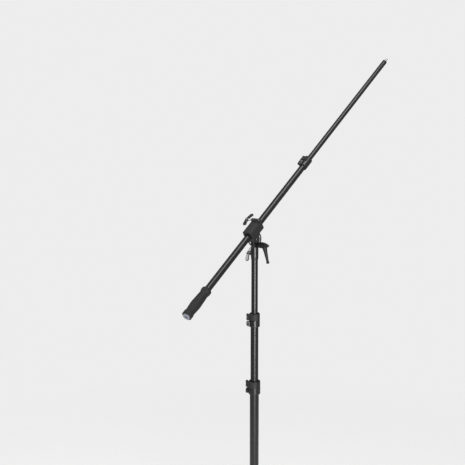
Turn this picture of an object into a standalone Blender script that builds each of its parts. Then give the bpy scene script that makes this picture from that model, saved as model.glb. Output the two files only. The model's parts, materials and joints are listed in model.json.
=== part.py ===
"""Telescopic boom microphone stand: tripod base, three-stage column, tilting head and two-stage boom.

The model stands on Z = 0 with the column on the Z axis and the boom in the XZ plane, its tip towards +X.
All sizes are metres. A body that moves is parented to an empty that lies on its joint's axis.
"""

import math

import bmesh
import bpy
from mathutils import Matrix, Vector

# ---------------------------------------------------------------- general fits
GAP = 0.0003                     # between faces that touch on the real stand
SLIDE_GAP = 0.0007               # radial play of one column tube in the next
BOOM_SLIDE_GAP = 0.0005          # radial play of the inner boom tube in the outer one
PIN_GAP = 0.0003                 # radial play of a pin or screw in its hole
FORK_GAP = 0.0004                # side play of an eye between two cheeks

# ---------------------------------------------------------------- stance
PIVOT_HEIGHT = 1.460             # tilt axis above the floor
BOOM_TILT = math.radians(33.0)   # boom above the horizontal
BOOM_OFFSET = 0.033              # boom axis above the tilt axis, square to the boom

# ---------------------------------------------------------------- tubes
TOP_TUBE_RADIUS = 0.0125
COLUMN_WALL = 0.0018
MIDDLE_TUBE_RADIUS = TOP_TUBE_RADIUS + SLIDE_GAP + COLUMN_WALL
LOWER_TUBE_RADIUS = MIDDLE_TUBE_RADIUS + SLIDE_GAP + COLUMN_WALL
BOOM_INNER_RADIUS = 0.0105
BOOM_WALL = 0.0015
BOOM_INNER_WALL = 0.0012
BOOM_TUBE_RADIUS = BOOM_INNER_RADIUS + BOOM_SLIDE_GAP + BOOM_WALL
TOP_TUBE_EXPOSED = 0.210         # from the socket down to the upper clamp
MIDDLE_TUBE_EXPOSED = 0.217      # from the upper clamp down to the lower clamp
TOP_TUBE_HIDDEN = 0.458          # below the upper clamp's slit
MIDDLE_TUBE_HIDDEN = 0.530       # below the lower clamp's slit

# ---------------------------------------------------------------- tube clamps
CLAMP_UPPER = 0.027              # clamping half, above the slit
CLAMP_LOWER = 0.025              # fixed half, below the slit
COLUMN_CLAMP_WALL = 0.0053
BOOM_CLAMP_WALL = 0.0036
CLAMP_SLIT = 0.0018
CLAMP_LUG = 0.0044               # thickness of the lug that carries the lever pin
LEVER_THICKNESS = 0.0030
LEVER_KNUCKLE = 0.0050
LEVER_WRAP = math.radians(110.0)
BOOM_LEVER_WRAP = math.radians(80.0)
LEVER_PIN_RADIUS = 0.0020
CLAMP_SCREW_RADIUS = 0.0025
UPPER_CLAMP_TURN = math.radians(139.0)
LOWER_CLAMP_TURN = math.radians(114.0)
BOOM_CLAMP_TURN = math.radians(40.0)

# ---------------------------------------------------------------- head
SOCKET_RADIUS = 0.0145
SOCKET_TOP = 0.0285              # below the tilt axis
SOCKET_LENGTH = 0.0505
SOCKET_ROOF = 0.0065
TONGUE_THICKNESS = 0.0130
TONGUE_HALF_WIDTH = 0.0128
PIVOT_PIN_RADIUS = 0.0040
LOCK_BOLT_RADIUS = 0.0040
LOCK_BOLT_DROP = 0.0205          # lock bolt below the tilt axis
SOCKET_SCREW_HEIGHT = 0.0220     # above the socket's lower end
SOCKET_BOSS = 0.0045             # height of the screw boss on the socket
SCREW_RADIUS = 0.0040

# ---------------------------------------------------------------- clamp block
BLOCK_REAR = 0.027               # behind the point nearest the tilt axis
BLOCK_FRONT = 0.050
BLOCK_HALF_WIDTH = 0.0203
BLOCK_HALF_HEIGHT = 0.0230
BLOCK_CHAMFER_RUN = 0.0128         # across the block
BLOCK_CHAMFER_DROP = 0.0058        # down its sides
CHEEK_RADIUS = 0.0265
CHEEK_THICKNESS = 0.0060
SLOT_SWEEP = math.radians(90.0)  # each way from straight under the block
POCKET_CLEARANCE = 0.0012
SLEEVE_WALL = 0.0020
SLEEVE_FLANGE = 0.0016
LUG_RADIUS = 0.0070
LUG_HALF_LENGTH = 0.0160
LUG_FROM_FRONT = 0.0075
LUG_RISE = 0.0015                # lug centre above the block's top face
BLOCK_SPLIT = 0.0018
BLOCK_SPLIT_LENGTH = 0.022

# ---------------------------------------------------------------- wing knobs
WING_SPAN = 0.026                # axis to the centre of a wing's round end
WING_HEIGHT = 0.0065             # half height of a wing at the hub
WING_THICKNESS = 0.0045
WING_HUB_RADIUS = 0.0062
WING_HUB_LENGTH = 0.0120
WING_SWEEP = 0.0050              # how far the wing ends bend back to the screw
BLOCK_SCREW_EXPOSED = 0.0170
SOCKET_SCREW_EXPOSED = 0.0040
SOCKET_WING_TURN = math.radians(36.5)

# ---------------------------------------------------------------- locking lever
LEVER_HUB_RADIUS = 0.0120
LEVER_HUB_LENGTH = 0.0535
LEVER_ARM_LENGTH = 0.0700
LEVER_ARM_START = 0.0310         # along the hub
LEVER_ARM_LEAN = math.radians(15.0)

# ---------------------------------------------------------------- boom
BOOM_REAR = 0.452                # tube end behind the point nearest the tilt axis
BOOM_CLAMP_POSITION = 0.4350     # slit of the boom clamp
BOOM_INNER_EXPOSED = 0.750
BOOM_INNER_HIDDEN = 0.090
GRIP_LENGTH = 0.134
GRIP_FLANGE_RADIUS = 0.0190
GRIP_WAIST_RADIUS = 0.0168
GRIP_SWELL_RADIUS = 0.0195
GRIP_LIP = 0.0020
CAP_RADIUS = 0.0140
CAP_HEIGHT = 0.0060
CAP_RECESS_RADIUS = 0.0055
CAP_RECESS_DEPTH = 0.0070
CAP_PLUG_LENGTH = 0.0220
STUD_RADIUS = 0.00475
STUD_LENGTH = 0.0240
ADAPTER_FLANGE = 0.0030
ADAPTER_PLUG = 0.0250

# ---------------------------------------------------------------- tripod
LEG_ANGLES = (0.0, 120.0, 240.0)
CROWN_HEIGHT = 0.450             # leg hinges above the floor
HINGE_RADIUS = 0.040             # leg and strut hinges from the column's axis
STRUT_LENGTH = 0.2357            # hinge to hinge, the same along the leg and the strut
STRUT_ANGLE = math.radians(40.0)
STRUT_THICKNESS = 0.0040
STRUT_HALF_WIDTH = 0.0065
LEG_OFFSET = 0.0215              # strut hinge from the leg tube's axis
LEG_TUBE_RADIUS = 0.0100
LEG_TUBE_WALL = 0.0015
LEG_TUBE_START = 0.0180
LEG_TUBE_STOP = 0.0220           # tube end before the floor, along the leg
KNUCKLE_THICKNESS = 0.0120
KNUCKLE_RADIUS = 0.0090
KNUCKLE_SHANK = 0.0450
HINGE_PIN_RADIUS = 0.0030
RIVET_RADIUS = 0.0025
COLLAR_RADIUS = 0.0240
COLLAR_HEIGHT = 0.0340
CHEEK_PLATE = 0.0040
BRACKET_WALL = 0.0030
BRACKET_LENGTH = 0.0260
BRACKET_PLATE = 0.0030
BOOT_RADIUS = 0.0135
BOOT_LENGTH = 0.0480
COLUMN_FOOT_HEIGHT = 0.0100
COLUMN_FOOT_PLUG = 0.0300
CROWN_KNOB_ANGLE = 60.0
CROWN_KNOB_RADIUS = 0.0170
CROWN_KNOB_HEIGHT = 0.0140
CROWN_KNOB_LOBES = 5
CROWN_BOSS_RADIUS = 0.0090
CROWN_BOSS_LENGTH = 0.0100

# ---------------------------------------------------------------- facets
TUBE_STEPS = 28
COLLAR_STEPS = 36
SMALL_STEPS = 14

# ---------------------------------------------------------------- derived places
PIVOT = Vector((0.0, 0.0, PIVOT_HEIGHT))
BOOM_AXIS = Vector((math.cos(BOOM_TILT), 0.0, math.sin(BOOM_TILT)))
BOOM_UP = Vector((-math.sin(BOOM_TILT), 0.0, math.cos(BOOM_TILT)))
SIDE = Vector((0.0, 1.0, 0.0))
BOOM_CENTRE = PIVOT + BOOM_UP * BOOM_OFFSET
SOCKET_BOTTOM = PIVOT_HEIGHT - SOCKET_TOP - SOCKET_LENGTH
UPPER_CLAMP_Z = SOCKET_BOTTOM - TOP_TUBE_EXPOSED - CLAMP_UPPER
LOWER_CLAMP_Z = UPPER_CLAMP_Z - CLAMP_LOWER - MIDDLE_TUBE_EXPOSED - CLAMP_UPPER
LEG_ALONG = math.sqrt(STRUT_LENGTH ** 2 - LEG_OFFSET ** 2)
LEG_ANGLE = STRUT_ANGLE + math.atan2(LEG_OFFSET, LEG_ALONG)
LEG_LENGTH = CROWN_HEIGHT / math.cos(LEG_ANGLE)
STRUT_FOOT_HEIGHT = CROWN_HEIGHT - 2.0 * STRUT_LENGTH * math.cos(STRUT_ANGLE)
CHEEK_INNER = TONGUE_THICKNESS / 2 + GAP
CHEEK_OUTER = CHEEK_INNER + CHEEK_THICKNESS

PARTS = None
TOOLS = None
MATERIALS = {}


# ================================================================ scene helpers
def clear_scene():
    """Remove every object of the open scene."""
    for thing in list(bpy.data.objects):
        bpy.data.objects.remove(thing, do_unlink=True)


def new_collection(name):
    group = bpy.data.collections.new(name)
    bpy.context.scene.collection.children.link(group)
    return group


def material(name, colour, roughness, metallic):
    """Return the named Principled material, made once."""
    if name not in MATERIALS:
        made = bpy.data.materials.new(name)
        made.use_nodes = True
        shader = made.node_tree.nodes["Principled BSDF"]
        shader.inputs["Base Color"].default_value = (*colour, 1.0)
        shader.inputs["Roughness"].default_value = roughness
        shader.inputs["Metallic"].default_value = metallic
        MATERIALS[name] = made
    return MATERIALS[name]


def black_paint():
    return material("satin_black_paint", (0.022, 0.022, 0.023), 0.38, 0.0)


def cast_black():
    return material("black_die_casting", (0.030, 0.030, 0.031), 0.55, 0.0)


def black_plastic():
    return material("black_plastic", (0.018, 0.018, 0.018), 0.45, 0.0)


def rubber():
    return material("black_rubber", (0.028, 0.028, 0.029), 0.80, 0.0)


def bright_steel():
    return material("bright_steel", (0.62, 0.62, 0.65), 0.22, 1.0)


def grey_cap():
    return material("grey_metallic_plastic", (0.30, 0.30, 0.32), 0.40, 0.6)


def frame(origin, z_axis, x_axis):
    """Return the matrix of a right-handed frame with the given Z and X directions."""
    z = Vector(z_axis).normalized()
    x = (Vector(x_axis) - z * z.dot(Vector(x_axis))).normalized()
    y = z.cross(x)
    turn = Matrix((x, y, z)).transposed().to_4x4()
    return Matrix.Translation(Vector(origin)) @ turn


def upright(height, turn=0.0):
    """Frame on the column's axis, its X direction turned about Z."""
    return frame((0, 0, height), (0, 0, 1), (math.cos(turn), math.sin(turn), 0))


def boom_frame(along):
    """Frame on the boom's axis: X sideways, Y up from the boom, Z to the tip."""
    return frame(BOOM_CENTRE + BOOM_AXIS * along, BOOM_AXIS, SIDE)


def axle_frame(origin):
    """Frame whose Z runs sideways, away from the wing knobs, with X to the front."""
    return frame(origin, -SIDE, (1, 0, 0))


def add_object(name, mesh, matrix, mat=None, tool=False):
    """Link a mesh as a part, or as a hidden tool for a Boolean."""
    made = bpy.data.objects.new(name, mesh)
    made.matrix_world = matrix
    if tool:
        TOOLS.objects.link(made)
        made.hide_render = True
        made.display_type = "WIRE"
    else:
        PARTS.objects.link(made)
        mesh.materials.append(mat)
    return made


def turned(name, profile, matrix, mat=None, steps=TUBE_STEPS, ring=False, tool=False):
    """Turn a profile of (radius, height) points about Z; a ring's profile is closed."""
    mesh = bpy.data.meshes.new(name)
    points = [(radius, 0.0, height) for radius, height in profile]
    edges = [(i, i + 1) for i in range(len(points) - 1)]
    if ring:
        edges.append((len(points) - 1, 0))
    mesh.from_pydata(points, edges, [])
    made = add_object(name, mesh, matrix, mat, tool)
    screw = made.modifiers.new("turn", "SCREW")
    screw.axis = "Z"
    screw.angle = 2 * math.pi
    screw.steps = steps
    screw.render_steps = steps
    screw.use_merge_vertices = True
    screw.merge_threshold = 0.00001
    return made


def rod(name, radius, low, high, matrix, mat=None, steps=SMALL_STEPS, tool=False):
    """A plain solid cylinder between two heights of its frame."""
    bm = bmesh.new()
    bmesh.ops.create_cone(bm, cap_ends=True, segments=steps, radius1=radius, radius2=radius,
                          depth=high - low)
    bmesh.ops.translate(bm, verts=bm.verts, vec=(0, 0, (low + high) / 2))
    mesh = bpy.data.meshes.new(name)
    bm.to_mesh(mesh)
    bm.free()
    return add_object(name, mesh, matrix, mat, tool)


def box(name, low, high, matrix, mat=None, tool=False):
    """A plain box between two corners of its frame."""
    bm = bmesh.new()
    bmesh.ops.create_cube(bm, size=1.0)
    size = Vector(high) - Vector(low)
    bmesh.ops.scale(bm, verts=bm.verts, vec=size)
    bmesh.ops.translate(bm, verts=bm.verts, vec=(Vector(low) + Vector(high)) / 2)
    mesh = bpy.data.meshes.new(name)
    bm.to_mesh(mesh)
    bm.free()
    return add_object(name, mesh, matrix, mat, tool)


def plate(name, outlines, low, high, matrix, mat=None, tool=False):
    """Extrude flat outlines from one height to another; outlines inside the first are holes."""
    curve = bpy.data.curves.new(name, "CURVE")
    curve.dimensions = "2D"
    curve.fill_mode = "BOTH"
    curve.extrude = (high - low) / 2
    for outline in outlines:
        spline = curve.splines.new("POLY")
        spline.points.add(len(outline) - 1)
        spline.use_cyclic_u = True
        for point, (x, y) in zip(spline.points, outline):
            point.co = (x, y, 0.0, 1.0)
    drawn = bpy.data.objects.new(name + "_outline", curve)
    TOOLS.objects.link(drawn)
    bpy.context.view_layer.update()
    graph = bpy.context.evaluated_depsgraph_get()
    mesh = bpy.data.meshes.new_from_object(drawn.evaluated_get(graph))
    bpy.data.objects.remove(drawn, do_unlink=True)
    bm = bmesh.new()
    bm.from_mesh(mesh)
    bmesh.ops.remove_doubles(bm, verts=bm.verts, dist=0.00001)
    bmesh.ops.translate(bm, verts=bm.verts, vec=(0, 0, (low + high) / 2))
    bmesh.ops.recalc_face_normals(bm, faces=bm.faces)
    bm.to_mesh(mesh)
    bm.free()
    mesh.materials.clear()
    mesh.name = name
    return add_object(name, mesh, matrix, mat, tool)


def boolean(target, tool, operation):
    modifier = target.modifiers.new(tool.name, "BOOLEAN")
    modifier.operation = operation
    modifier.object = tool


def fuse(target, *tools):
    for tool in tools:
        boolean(target, tool, "UNION")


def carve(target, *tools):
    for tool in tools:
        boolean(target, tool, "DIFFERENCE")


def soften(target, width, segments=1, angle=math.radians(40.0)):
    """Break the sharp edges of a casting or moulding."""
    bevel = target.modifiers.new("edges", "BEVEL")
    bevel.width = width
    bevel.segments = segments
    bevel.limit_method = "ANGLE"
    bevel.angle_limit = angle


def joint_empty(name, location, parent=None):
    """Empty on a joint's axis that carries a moving body."""
    made = bpy.data.objects.new(name, None)
    made.empty_display_size = 0.02
    PARTS.objects.link(made)
    made.matrix_world = Matrix.Translation(Vector(location))
    if parent is not None:
        attach(parent, made)
    return made


def attach(parent, *things):
    """Parent things to an empty and leave them where they are."""
    bpy.context.view_layer.update()
    for thing in things:
        thing.parent = parent
        thing.matrix_parent_inverse = parent.matrix_world.inverted()


# ================================================================ outline helpers
def arc(centre, radius, start, stop, count):
    """Points on an arc, both ends included."""
    turns = [start + (stop - start) * i / (count - 1) for i in range(count)]
    return [(centre[0] + radius * math.cos(t), centre[1] + radius * math.sin(t)) for t in turns]


def circle(centre, radius, count):
    return arc(centre, radius, 0.0, 2 * math.pi * (count - 1) / count, count)


def rounded_box(x0, y0, x1, y1, radius, count=4):
    """Rectangle with four round corners."""
    quarter = math.pi / 2
    corners = ((x1 - radius, y1 - radius), (x0 + radius, y1 - radius),
               (x0 + radius, y0 + radius), (x1 - radius, y0 + radius))
    points = []
    for i, corner in enumerate(corners):
        points += arc(corner, radius, i * quarter, (i + 1) * quarter, count)
    return points


def curved_slot(centre, radius, half_width, start, stop):
    """Slot along an arc, with round ends."""
    first = (centre[0] + radius * math.cos(start), centre[1] + radius * math.sin(start))
    last = (centre[0] + radius * math.cos(stop), centre[1] + radius * math.sin(stop))
    outer = arc(centre, radius + half_width, start, stop, 16)
    inner = arc(centre, radius - half_width, stop, start, 16)
    far_end = arc(last, half_width, stop, stop + math.pi, 6)[1:-1]
    near_end = arc(first, half_width, start + math.pi, start + 2 * math.pi, 6)[1:-1]
    return outer + far_end + inner + near_end


def tube_profile(radius, bore, low, high):
    """Closed profile of a plain tube."""
    return [(radius, high), (radius, low), (bore, low), (bore, high)]


# ================================================================ column
def lower_tube():
    """Widest tube, from the column foot up into the lower clamp."""
    profile = tube_profile(LOWER_TUBE_RADIUS, MIDDLE_TUBE_RADIUS + SLIDE_GAP,
                           COLUMN_FOOT_HEIGHT + GAP, LOWER_CLAMP_Z - CLAMP_SLIT / 2)
    return turned("lower_tube", profile, upright(0.0), black_paint(), ring=True)


def middle_tube():
    profile = tube_profile(MIDDLE_TUBE_RADIUS, TOP_TUBE_RADIUS + SLIDE_GAP,
                           LOWER_CLAMP_Z - MIDDLE_TUBE_HIDDEN, UPPER_CLAMP_Z - CLAMP_SLIT / 2)
    return turned("middle_tube", profile, upright(0.0), black_paint(), ring=True)


def top_tube():
    roof = PIVOT_HEIGHT - SOCKET_TOP - SOCKET_ROOF
    profile = tube_profile(TOP_TUBE_RADIUS, TOP_TUBE_RADIUS - COLUMN_WALL,
                           UPPER_CLAMP_Z - TOP_TUBE_HIDDEN, roof - GAP)
    return turned("top_tube", profile, upright(0.0), black_paint(), ring=True)


def column_foot():
    """Rubber foot under the column, plugged into the lower tube."""
    plug = MIDDLE_TUBE_RADIUS + SLIDE_GAP - GAP
    top = COLUMN_FOOT_HEIGHT + COLUMN_FOOT_PLUG
    profile = [(0, top), (plug, top), (plug, COLUMN_FOOT_HEIGHT), (LOWER_TUBE_RADIUS, COLUMN_FOOT_HEIGHT),
               (LOWER_TUBE_RADIUS, GRIP_LIP), (LOWER_TUBE_RADIUS - GRIP_LIP, 0), (0, 0)]
    return turned("column_foot", profile, upright(0.0), rubber())


# ================================================================ tube clamps
def clamp_body(name, place, outer_tube, wall):
    """Cast collar: a fixed half with screwed ears, a slit, and a clamping half with the lever lug."""
    bore = outer_tube + GAP
    outside = bore + wall
    pin_x = lever_pin_distance(outside)
    edge = 0.0012
    profile = [(outside - edge, CLAMP_UPPER), (outside, CLAMP_UPPER - edge),
               (outside, edge - CLAMP_LOWER), (outside - edge, -CLAMP_LOWER),
               (bore, -CLAMP_LOWER), (bore, CLAMP_UPPER)]
    body = turned(name, profile, place, cast_black(), COLLAR_STEPS, ring=True)
    root = bore + wall * 0.4
    ear_reach = pin_x + LEVER_KNUCKLE * 0.8
    ear_half = 0.0068
    ear_outline = rounded_box(root, -CLAMP_LOWER + 0.0025, ear_reach, -CLAMP_SLIT / 2 - 0.0016, 0.0055, 5)
    sideways = place @ frame((0, 0, 0), (0, -1, 0), (1, 0, 0))
    ears = plate(name + "_ears", [ear_outline], -ear_half, ear_half, sideways, tool=True)
    lug_z = lever_lug_height()
    lug_outline = (arc((pin_x, 0), LEVER_KNUCKLE * 0.92, -math.pi / 2, math.pi / 2, 8)
                   + [(root, LEVER_KNUCKLE * 0.92), (root, -LEVER_KNUCKLE * 0.92)])
    lug = plate(name + "_lug", [lug_outline], lug_z - CLAMP_LUG / 2, lug_z + CLAMP_LUG / 2, place, tool=True)
    fuse(body, ears, lug)
    slit = box(name + "_slit", (bore * 0.3, -0.05, -CLAMP_SLIT / 2), (0.06, 0.05, CLAMP_SLIT / 2), place,
               tool=True)
    split = box(name + "_split", (bore * 0.5, -0.0010, -0.06), (0.06, 0.0010, 0.0), place, tool=True)
    turned_back = place @ Matrix.Rotation(math.radians(-38.0), 4, "Z")
    jaw = box(name + "_jaw", (bore * 0.5, -0.0009, 0.0), (0.03, 0.0009, 0.06), turned_back, tool=True)
    hole = rod(name + "_screw_hole", CLAMP_SCREW_RADIUS + PIN_GAP, -0.02, 0.02,
               place @ clamp_screw_frame(outside), tool=True)
    pin_hole = rod(name + "_pin_hole", LEVER_PIN_RADIUS + PIN_GAP, 0.0, 0.05,
                   place @ Matrix.Translation((pin_x, 0, 0)), tool=True)
    carve(body, slit, split, jaw, hole, pin_hole)
    return body


def lever_pin_distance(outside):
    """Lever pin from the tube's axis."""
    return outside + LEVER_KNUCKLE + 0.0014


def lever_lug_height():
    return CLAMP_SLIT / 2 + (CLAMP_UPPER - CLAMP_SLIT / 2) / 2


def clamp_screw_frame(outside):
    """Frame of the ear screw in the clamp's own frame: its Z runs through both ears."""
    middle = -(CLAMP_LOWER + CLAMP_SLIT / 2) / 2
    return frame((outside + 0.0052, 0, middle), (0, 1, 0), (1, 0, 0))


def clamp_bush(name, place, inner_tube, outer_tube, wall):
    """Split plastic liner between the clamping half and the inner tube, with a rim on top."""
    bore = inner_tube + GAP
    outside = outer_tube
    rim = outer_tube + wall * 0.55
    top = CLAMP_UPPER + GAP
    profile = [(rim, top + 0.0012), (rim, top), (outside, top), (outside, CLAMP_SLIT / 2),
               (bore, CLAMP_SLIT / 2), (bore, top + 0.0012)]
    return turned(name, profile, place, black_plastic(), ring=True)


def clamp_lever(name, place, outer_tube, wall, wrap):
    """Cam lever that wraps round the collar, with two knuckles either side of the lug."""
    outside = outer_tube + GAP + wall
    pin_x = lever_pin_distance(outside)
    inner = outside + GAP * 1.5
    outer = inner + LEVER_THICKNESS
    start = math.radians(20.0)
    tip = (inner + LEVER_THICKNESS / 2)
    tip_centre = (tip * math.cos(wrap), tip * math.sin(wrap))
    outline = arc((pin_x, 0), LEVER_KNUCKLE, math.radians(-150), math.radians(60), 12)
    outline += arc((0, 0), outer, start, wrap, 14)
    outline += arc(tip_centre, LEVER_THICKNESS / 2, wrap, wrap + math.pi, 6)[1:-1]
    outline += arc((0, 0), inner, wrap, math.radians(8), 15)
    low = CLAMP_SLIT / 2 + 0.0012
    high = CLAMP_UPPER - 0.0005
    hole = circle((pin_x, 0), LEVER_PIN_RADIUS + PIN_GAP, 12)
    lever = plate(name, [outline, hole], low, high, place, cast_black())
    lug_z = lever_lug_height()
    reach = LEVER_KNUCKLE + 0.0012
    half = CLAMP_LUG / 2 + GAP
    notch = box(name + "_notch", (outside - 0.0030, -reach, lug_z - half),
                (pin_x + reach, reach, lug_z + half), place, tool=True)
    carve(lever, notch)
    return lever


def lever_pin(name, place, outer_tube, wall):
    pin_x = lever_pin_distance(outer_tube + GAP + wall)
    low = CLAMP_SLIT / 2 + 0.0012 - GAP
    high = CLAMP_UPPER - 0.0005 + GAP
    head = LEVER_PIN_RADIUS + 0.0009
    profile = [(0, high + 0.0008), (head, high + 0.0008), (head, high), (LEVER_PIN_RADIUS, high),
               (LEVER_PIN_RADIUS, low), (0, low)]
    return turned(name, profile, place @ Matrix.Translation((pin_x, 0, 0)), bright_steel(), SMALL_STEPS)


def clamp_screw(name, place, outer_tube, wall):
    """Screw through the ears of the fixed half, with a round head towards +Y and a nut."""
    outside = outer_tube + GAP + wall
    ear_half = 0.0068 + GAP
    head = CLAMP_SCREW_RADIUS + 0.0014
    profile = [(0, ear_half + 0.0030), (head, ear_half + 0.0030), (head, ear_half),
               (CLAMP_SCREW_RADIUS, ear_half), (CLAMP_SCREW_RADIUS, -ear_half), (head, -ear_half),
               (head, -ear_half - 0.0028), (0, -ear_half - 0.0028)]
    return turned(name, profile, place @ clamp_screw_frame(outside), bright_steel(), SMALL_STEPS)


def tube_clamp(prefix, place, inner_tube, outer_tube, wall, wrap=LEVER_WRAP):
    """All the pieces of one clamp; the lever is returned apart from the fixed pieces."""
    fixed = [clamp_body(prefix + "_clamp_body", place, outer_tube, wall),
             clamp_bush(prefix + "_clamp_bush", place, inner_tube, outer_tube, wall),
             lever_pin(prefix + "_lever_pin", place, outer_tube, wall),
             clamp_screw(prefix + "_clamp_screw", place, outer_tube, wall)]
    lever = clamp_lever(prefix + "_lever", place, outer_tube, wall, wrap)
    return fixed, lever


def lever_axis_point(place, outer_tube, wall):
    """World point on a clamp lever's hinge."""
    return place @ Vector((lever_pin_distance(outer_tube + GAP + wall), 0, lever_lug_height()))


# ================================================================ head
def head_casting():
    """Socket on the top tube with a flat tongue that carries the tilt pin and the lock bolt."""
    bore = TOP_TUBE_RADIUS + GAP
    top = -SOCKET_TOP
    bottom = top - SOCKET_LENGTH
    edge = 0.0010
    place = upright(PIVOT_HEIGHT)
    profile = [(0, top), (SOCKET_RADIUS - edge, top), (SOCKET_RADIUS, top - edge), (SOCKET_RADIUS, bottom),
               (bore, bottom), (bore, top - SOCKET_ROOF), (0, top - SOCKET_ROOF)]
    head = turned("head_casting", profile, place, cast_black(), COLLAR_STEPS)
    root = top - SOCKET_ROOF * 0.6
    outline = (arc((0, 0), TONGUE_HALF_WIDTH, 0, math.pi, 16)
               + [(-TONGUE_HALF_WIDTH, root), (TONGUE_HALF_WIDTH, root)])
    pivot_hole = circle((0, 0), PIVOT_PIN_RADIUS + PIN_GAP, SMALL_STEPS)
    bolt_hole = circle((0, -LOCK_BOLT_DROP), LOCK_BOLT_RADIUS + PIN_GAP, SMALL_STEPS)
    tongue = plate("head_tongue", [outline, pivot_hole, bolt_hole], -TONGUE_THICKNESS / 2,
                   TONGUE_THICKNESS / 2, axle_frame(PIVOT), tool=True)
    boss_place = frame((0, 0, socket_screw_z()), SIDE, (1, 0, 0))
    boss = rod("head_boss", SCREW_RADIUS + 0.0030, TOP_TUBE_RADIUS + 0.0012, SOCKET_RADIUS + SOCKET_BOSS,
               boss_place, steps=16, tool=True)
    hole = rod("head_screw_hole", SCREW_RADIUS + PIN_GAP, 0.006, 0.05, boss_place, tool=True)
    fuse(head, tongue, boss)
    carve(head, hole)
    return head


def socket_screw_z():
    return SOCKET_BOTTOM + SOCKET_SCREW_HEIGHT


def pivot_pin():
    """Rivet through both cheeks and the tongue."""
    head = PIVOT_PIN_RADIUS + 0.0035
    out = CHEEK_OUTER + GAP
    profile = [(0, out + 0.0020), (head - 0.0012, out + 0.0020), (head, out + 0.0008), (head, out),
               (PIVOT_PIN_RADIUS, out), (PIVOT_PIN_RADIUS, -out), (head, -out), (head, -out - 0.0008),
               (head - 0.0012, -out - 0.0020), (0, -out - 0.0020)]
    return turned("pivot_pin", profile, axle_frame(PIVOT), bright_steel(), SMALL_STEPS)


def lock_bolt():
    """Bolt that pinches the slotted cheeks on the tongue; its head lies on the wing knobs' side."""
    head = LOCK_BOLT_RADIUS + 0.0032
    out = CHEEK_OUTER + GAP
    tip = out + lever_bore_depth() - GAP
    profile = [(0, tip), (LOCK_BOLT_RADIUS, tip), (LOCK_BOLT_RADIUS, -out), (head, -out),
               (head, -out - 0.0040), (0, -out - 0.0040)]
    place = axle_frame(PIVOT - Vector((0, 0, LOCK_BOLT_DROP)))
    return turned("lock_bolt", profile, place, bright_steel(), SMALL_STEPS)


def lever_bore_depth():
    """Depth of the locking lever's threaded bore."""
    return LEVER_HUB_LENGTH * 0.4


def lock_lever():
    """Pointed hub on the lock bolt, with a tapered arm that hangs down and leans outwards."""
    base = CHEEK_OUTER + GAP * 2
    length = LEVER_HUB_LENGTH
    bore = LOCK_BOLT_RADIUS + PIN_GAP
    wide = LEVER_HUB_RADIUS
    depth = lever_bore_depth()
    place = axle_frame(PIVOT - Vector((0, 0, LOCK_BOLT_DROP)))
    profile = [(0, base + length), (wide * 0.22, base + length * 0.985), (wide * 0.56, base + length * 0.86),
               (wide * 0.86, base + length * 0.64), (wide, base + length * 0.38),
               (wide * 0.96, base + length * 0.18), (wide * 0.82, base + 0.0040),
               (wide * 0.60, base + 0.0025), (wide * 0.60, base), (bore, base),
               (bore, base + depth), (0, base + depth)]
    lever = turned("lock_lever", profile, place, black_plastic(), 20)
    thick, thin = wide * 0.80, wide * 0.40
    reach = LEVER_ARM_LENGTH
    arm_profile = [(0, 0), (thick * 0.9, 0), (thick, -reach * 0.10), (thick * 0.72, -reach * 0.36),
                   (thin * 1.12, -reach * 0.75), (thin, -reach * 0.86), (thin * 1.65, -reach * 0.92),
                   (thin * 1.65, -reach * 0.97), (thin * 1.1, -reach), (0, -reach)]
    centre = PIVOT - Vector((0, 0, LOCK_BOLT_DROP)) - SIDE * (base + LEVER_ARM_START)
    up = Vector((0, math.sin(LEVER_ARM_LEAN), math.cos(LEVER_ARM_LEAN)))
    arm = turned("lock_lever_arm", arm_profile, frame(centre, up, (1, 0, 0)), steps=16, tool=True)
    fuse(lever, arm)
    return lever


# ================================================================ wing knobs
def wing_outline():
    """Gull-wing outline with round ends: X along the wings, Y along the screw, away from it."""
    count = 9
    steps = [-1 + 2 * i / (count - 1) for i in range(count)]

    def middle(t):
        return WING_HUB_LENGTH / 2 - WING_SWEEP * t * t

    def half(t):
        return WING_HEIGHT * (1 + 0.15 * t * t)

    upper = [(WING_SPAN * t, middle(t) + half(t)) for t in steps]
    lower = [(WING_SPAN * t, middle(t) - half(t)) for t in reversed(steps)]
    right = arc((WING_SPAN, middle(1)), half(1), math.pi / 2, -math.pi / 2, 6)[1:-1]
    left = arc((-WING_SPAN, middle(1)), half(1), -math.pi / 2, -3 * math.pi / 2, 6)[1:-1]
    return upper + right + lower + left


def wing_knob(name, place):
    """Butterfly nut; its frame's origin is the hub's face towards the screw, Z points away from it."""
    bore = SCREW_RADIUS + PIN_GAP
    top = WING_HUB_LENGTH
    depth = top * 0.75
    profile = [(0, top), (WING_HUB_RADIUS - 0.001, top), (WING_HUB_RADIUS, top - 0.001),
               (WING_HUB_RADIUS, 0), (bore, 0), (bore, depth), (0, depth)]
    knob = turned(name, profile, place, black_plastic(), 16)
    blade_place = place @ frame((0, 0, 0), (0, -1, 0), (1, 0, 0))
    half = WING_THICKNESS / 2
    blades = plate(name + "_blades", [wing_outline()], -half, half, blade_place, tool=True)
    fuse(knob, blades)
    hole = rod(name + "_bore", bore, -0.02, depth, place, steps=16, tool=True)
    carve(knob, hole)
    return knob


def knob_screw(name, place, start, seat, head=0.0):
    """Screw that a wing knob turns on: from start to its seat in the knob, with a head if asked."""
    tip = seat + WING_HUB_LENGTH * 0.75 - GAP
    profile = [(0, tip), (SCREW_RADIUS, tip), (SCREW_RADIUS, start)]
    if head:
        profile += [(SCREW_RADIUS + 0.0026, start), (SCREW_RADIUS + 0.0026, start - head), (0, start - head)]
    else:
        profile += [(0, start)]
    return turned(name, profile, place, bright_steel(), SMALL_STEPS)


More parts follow.
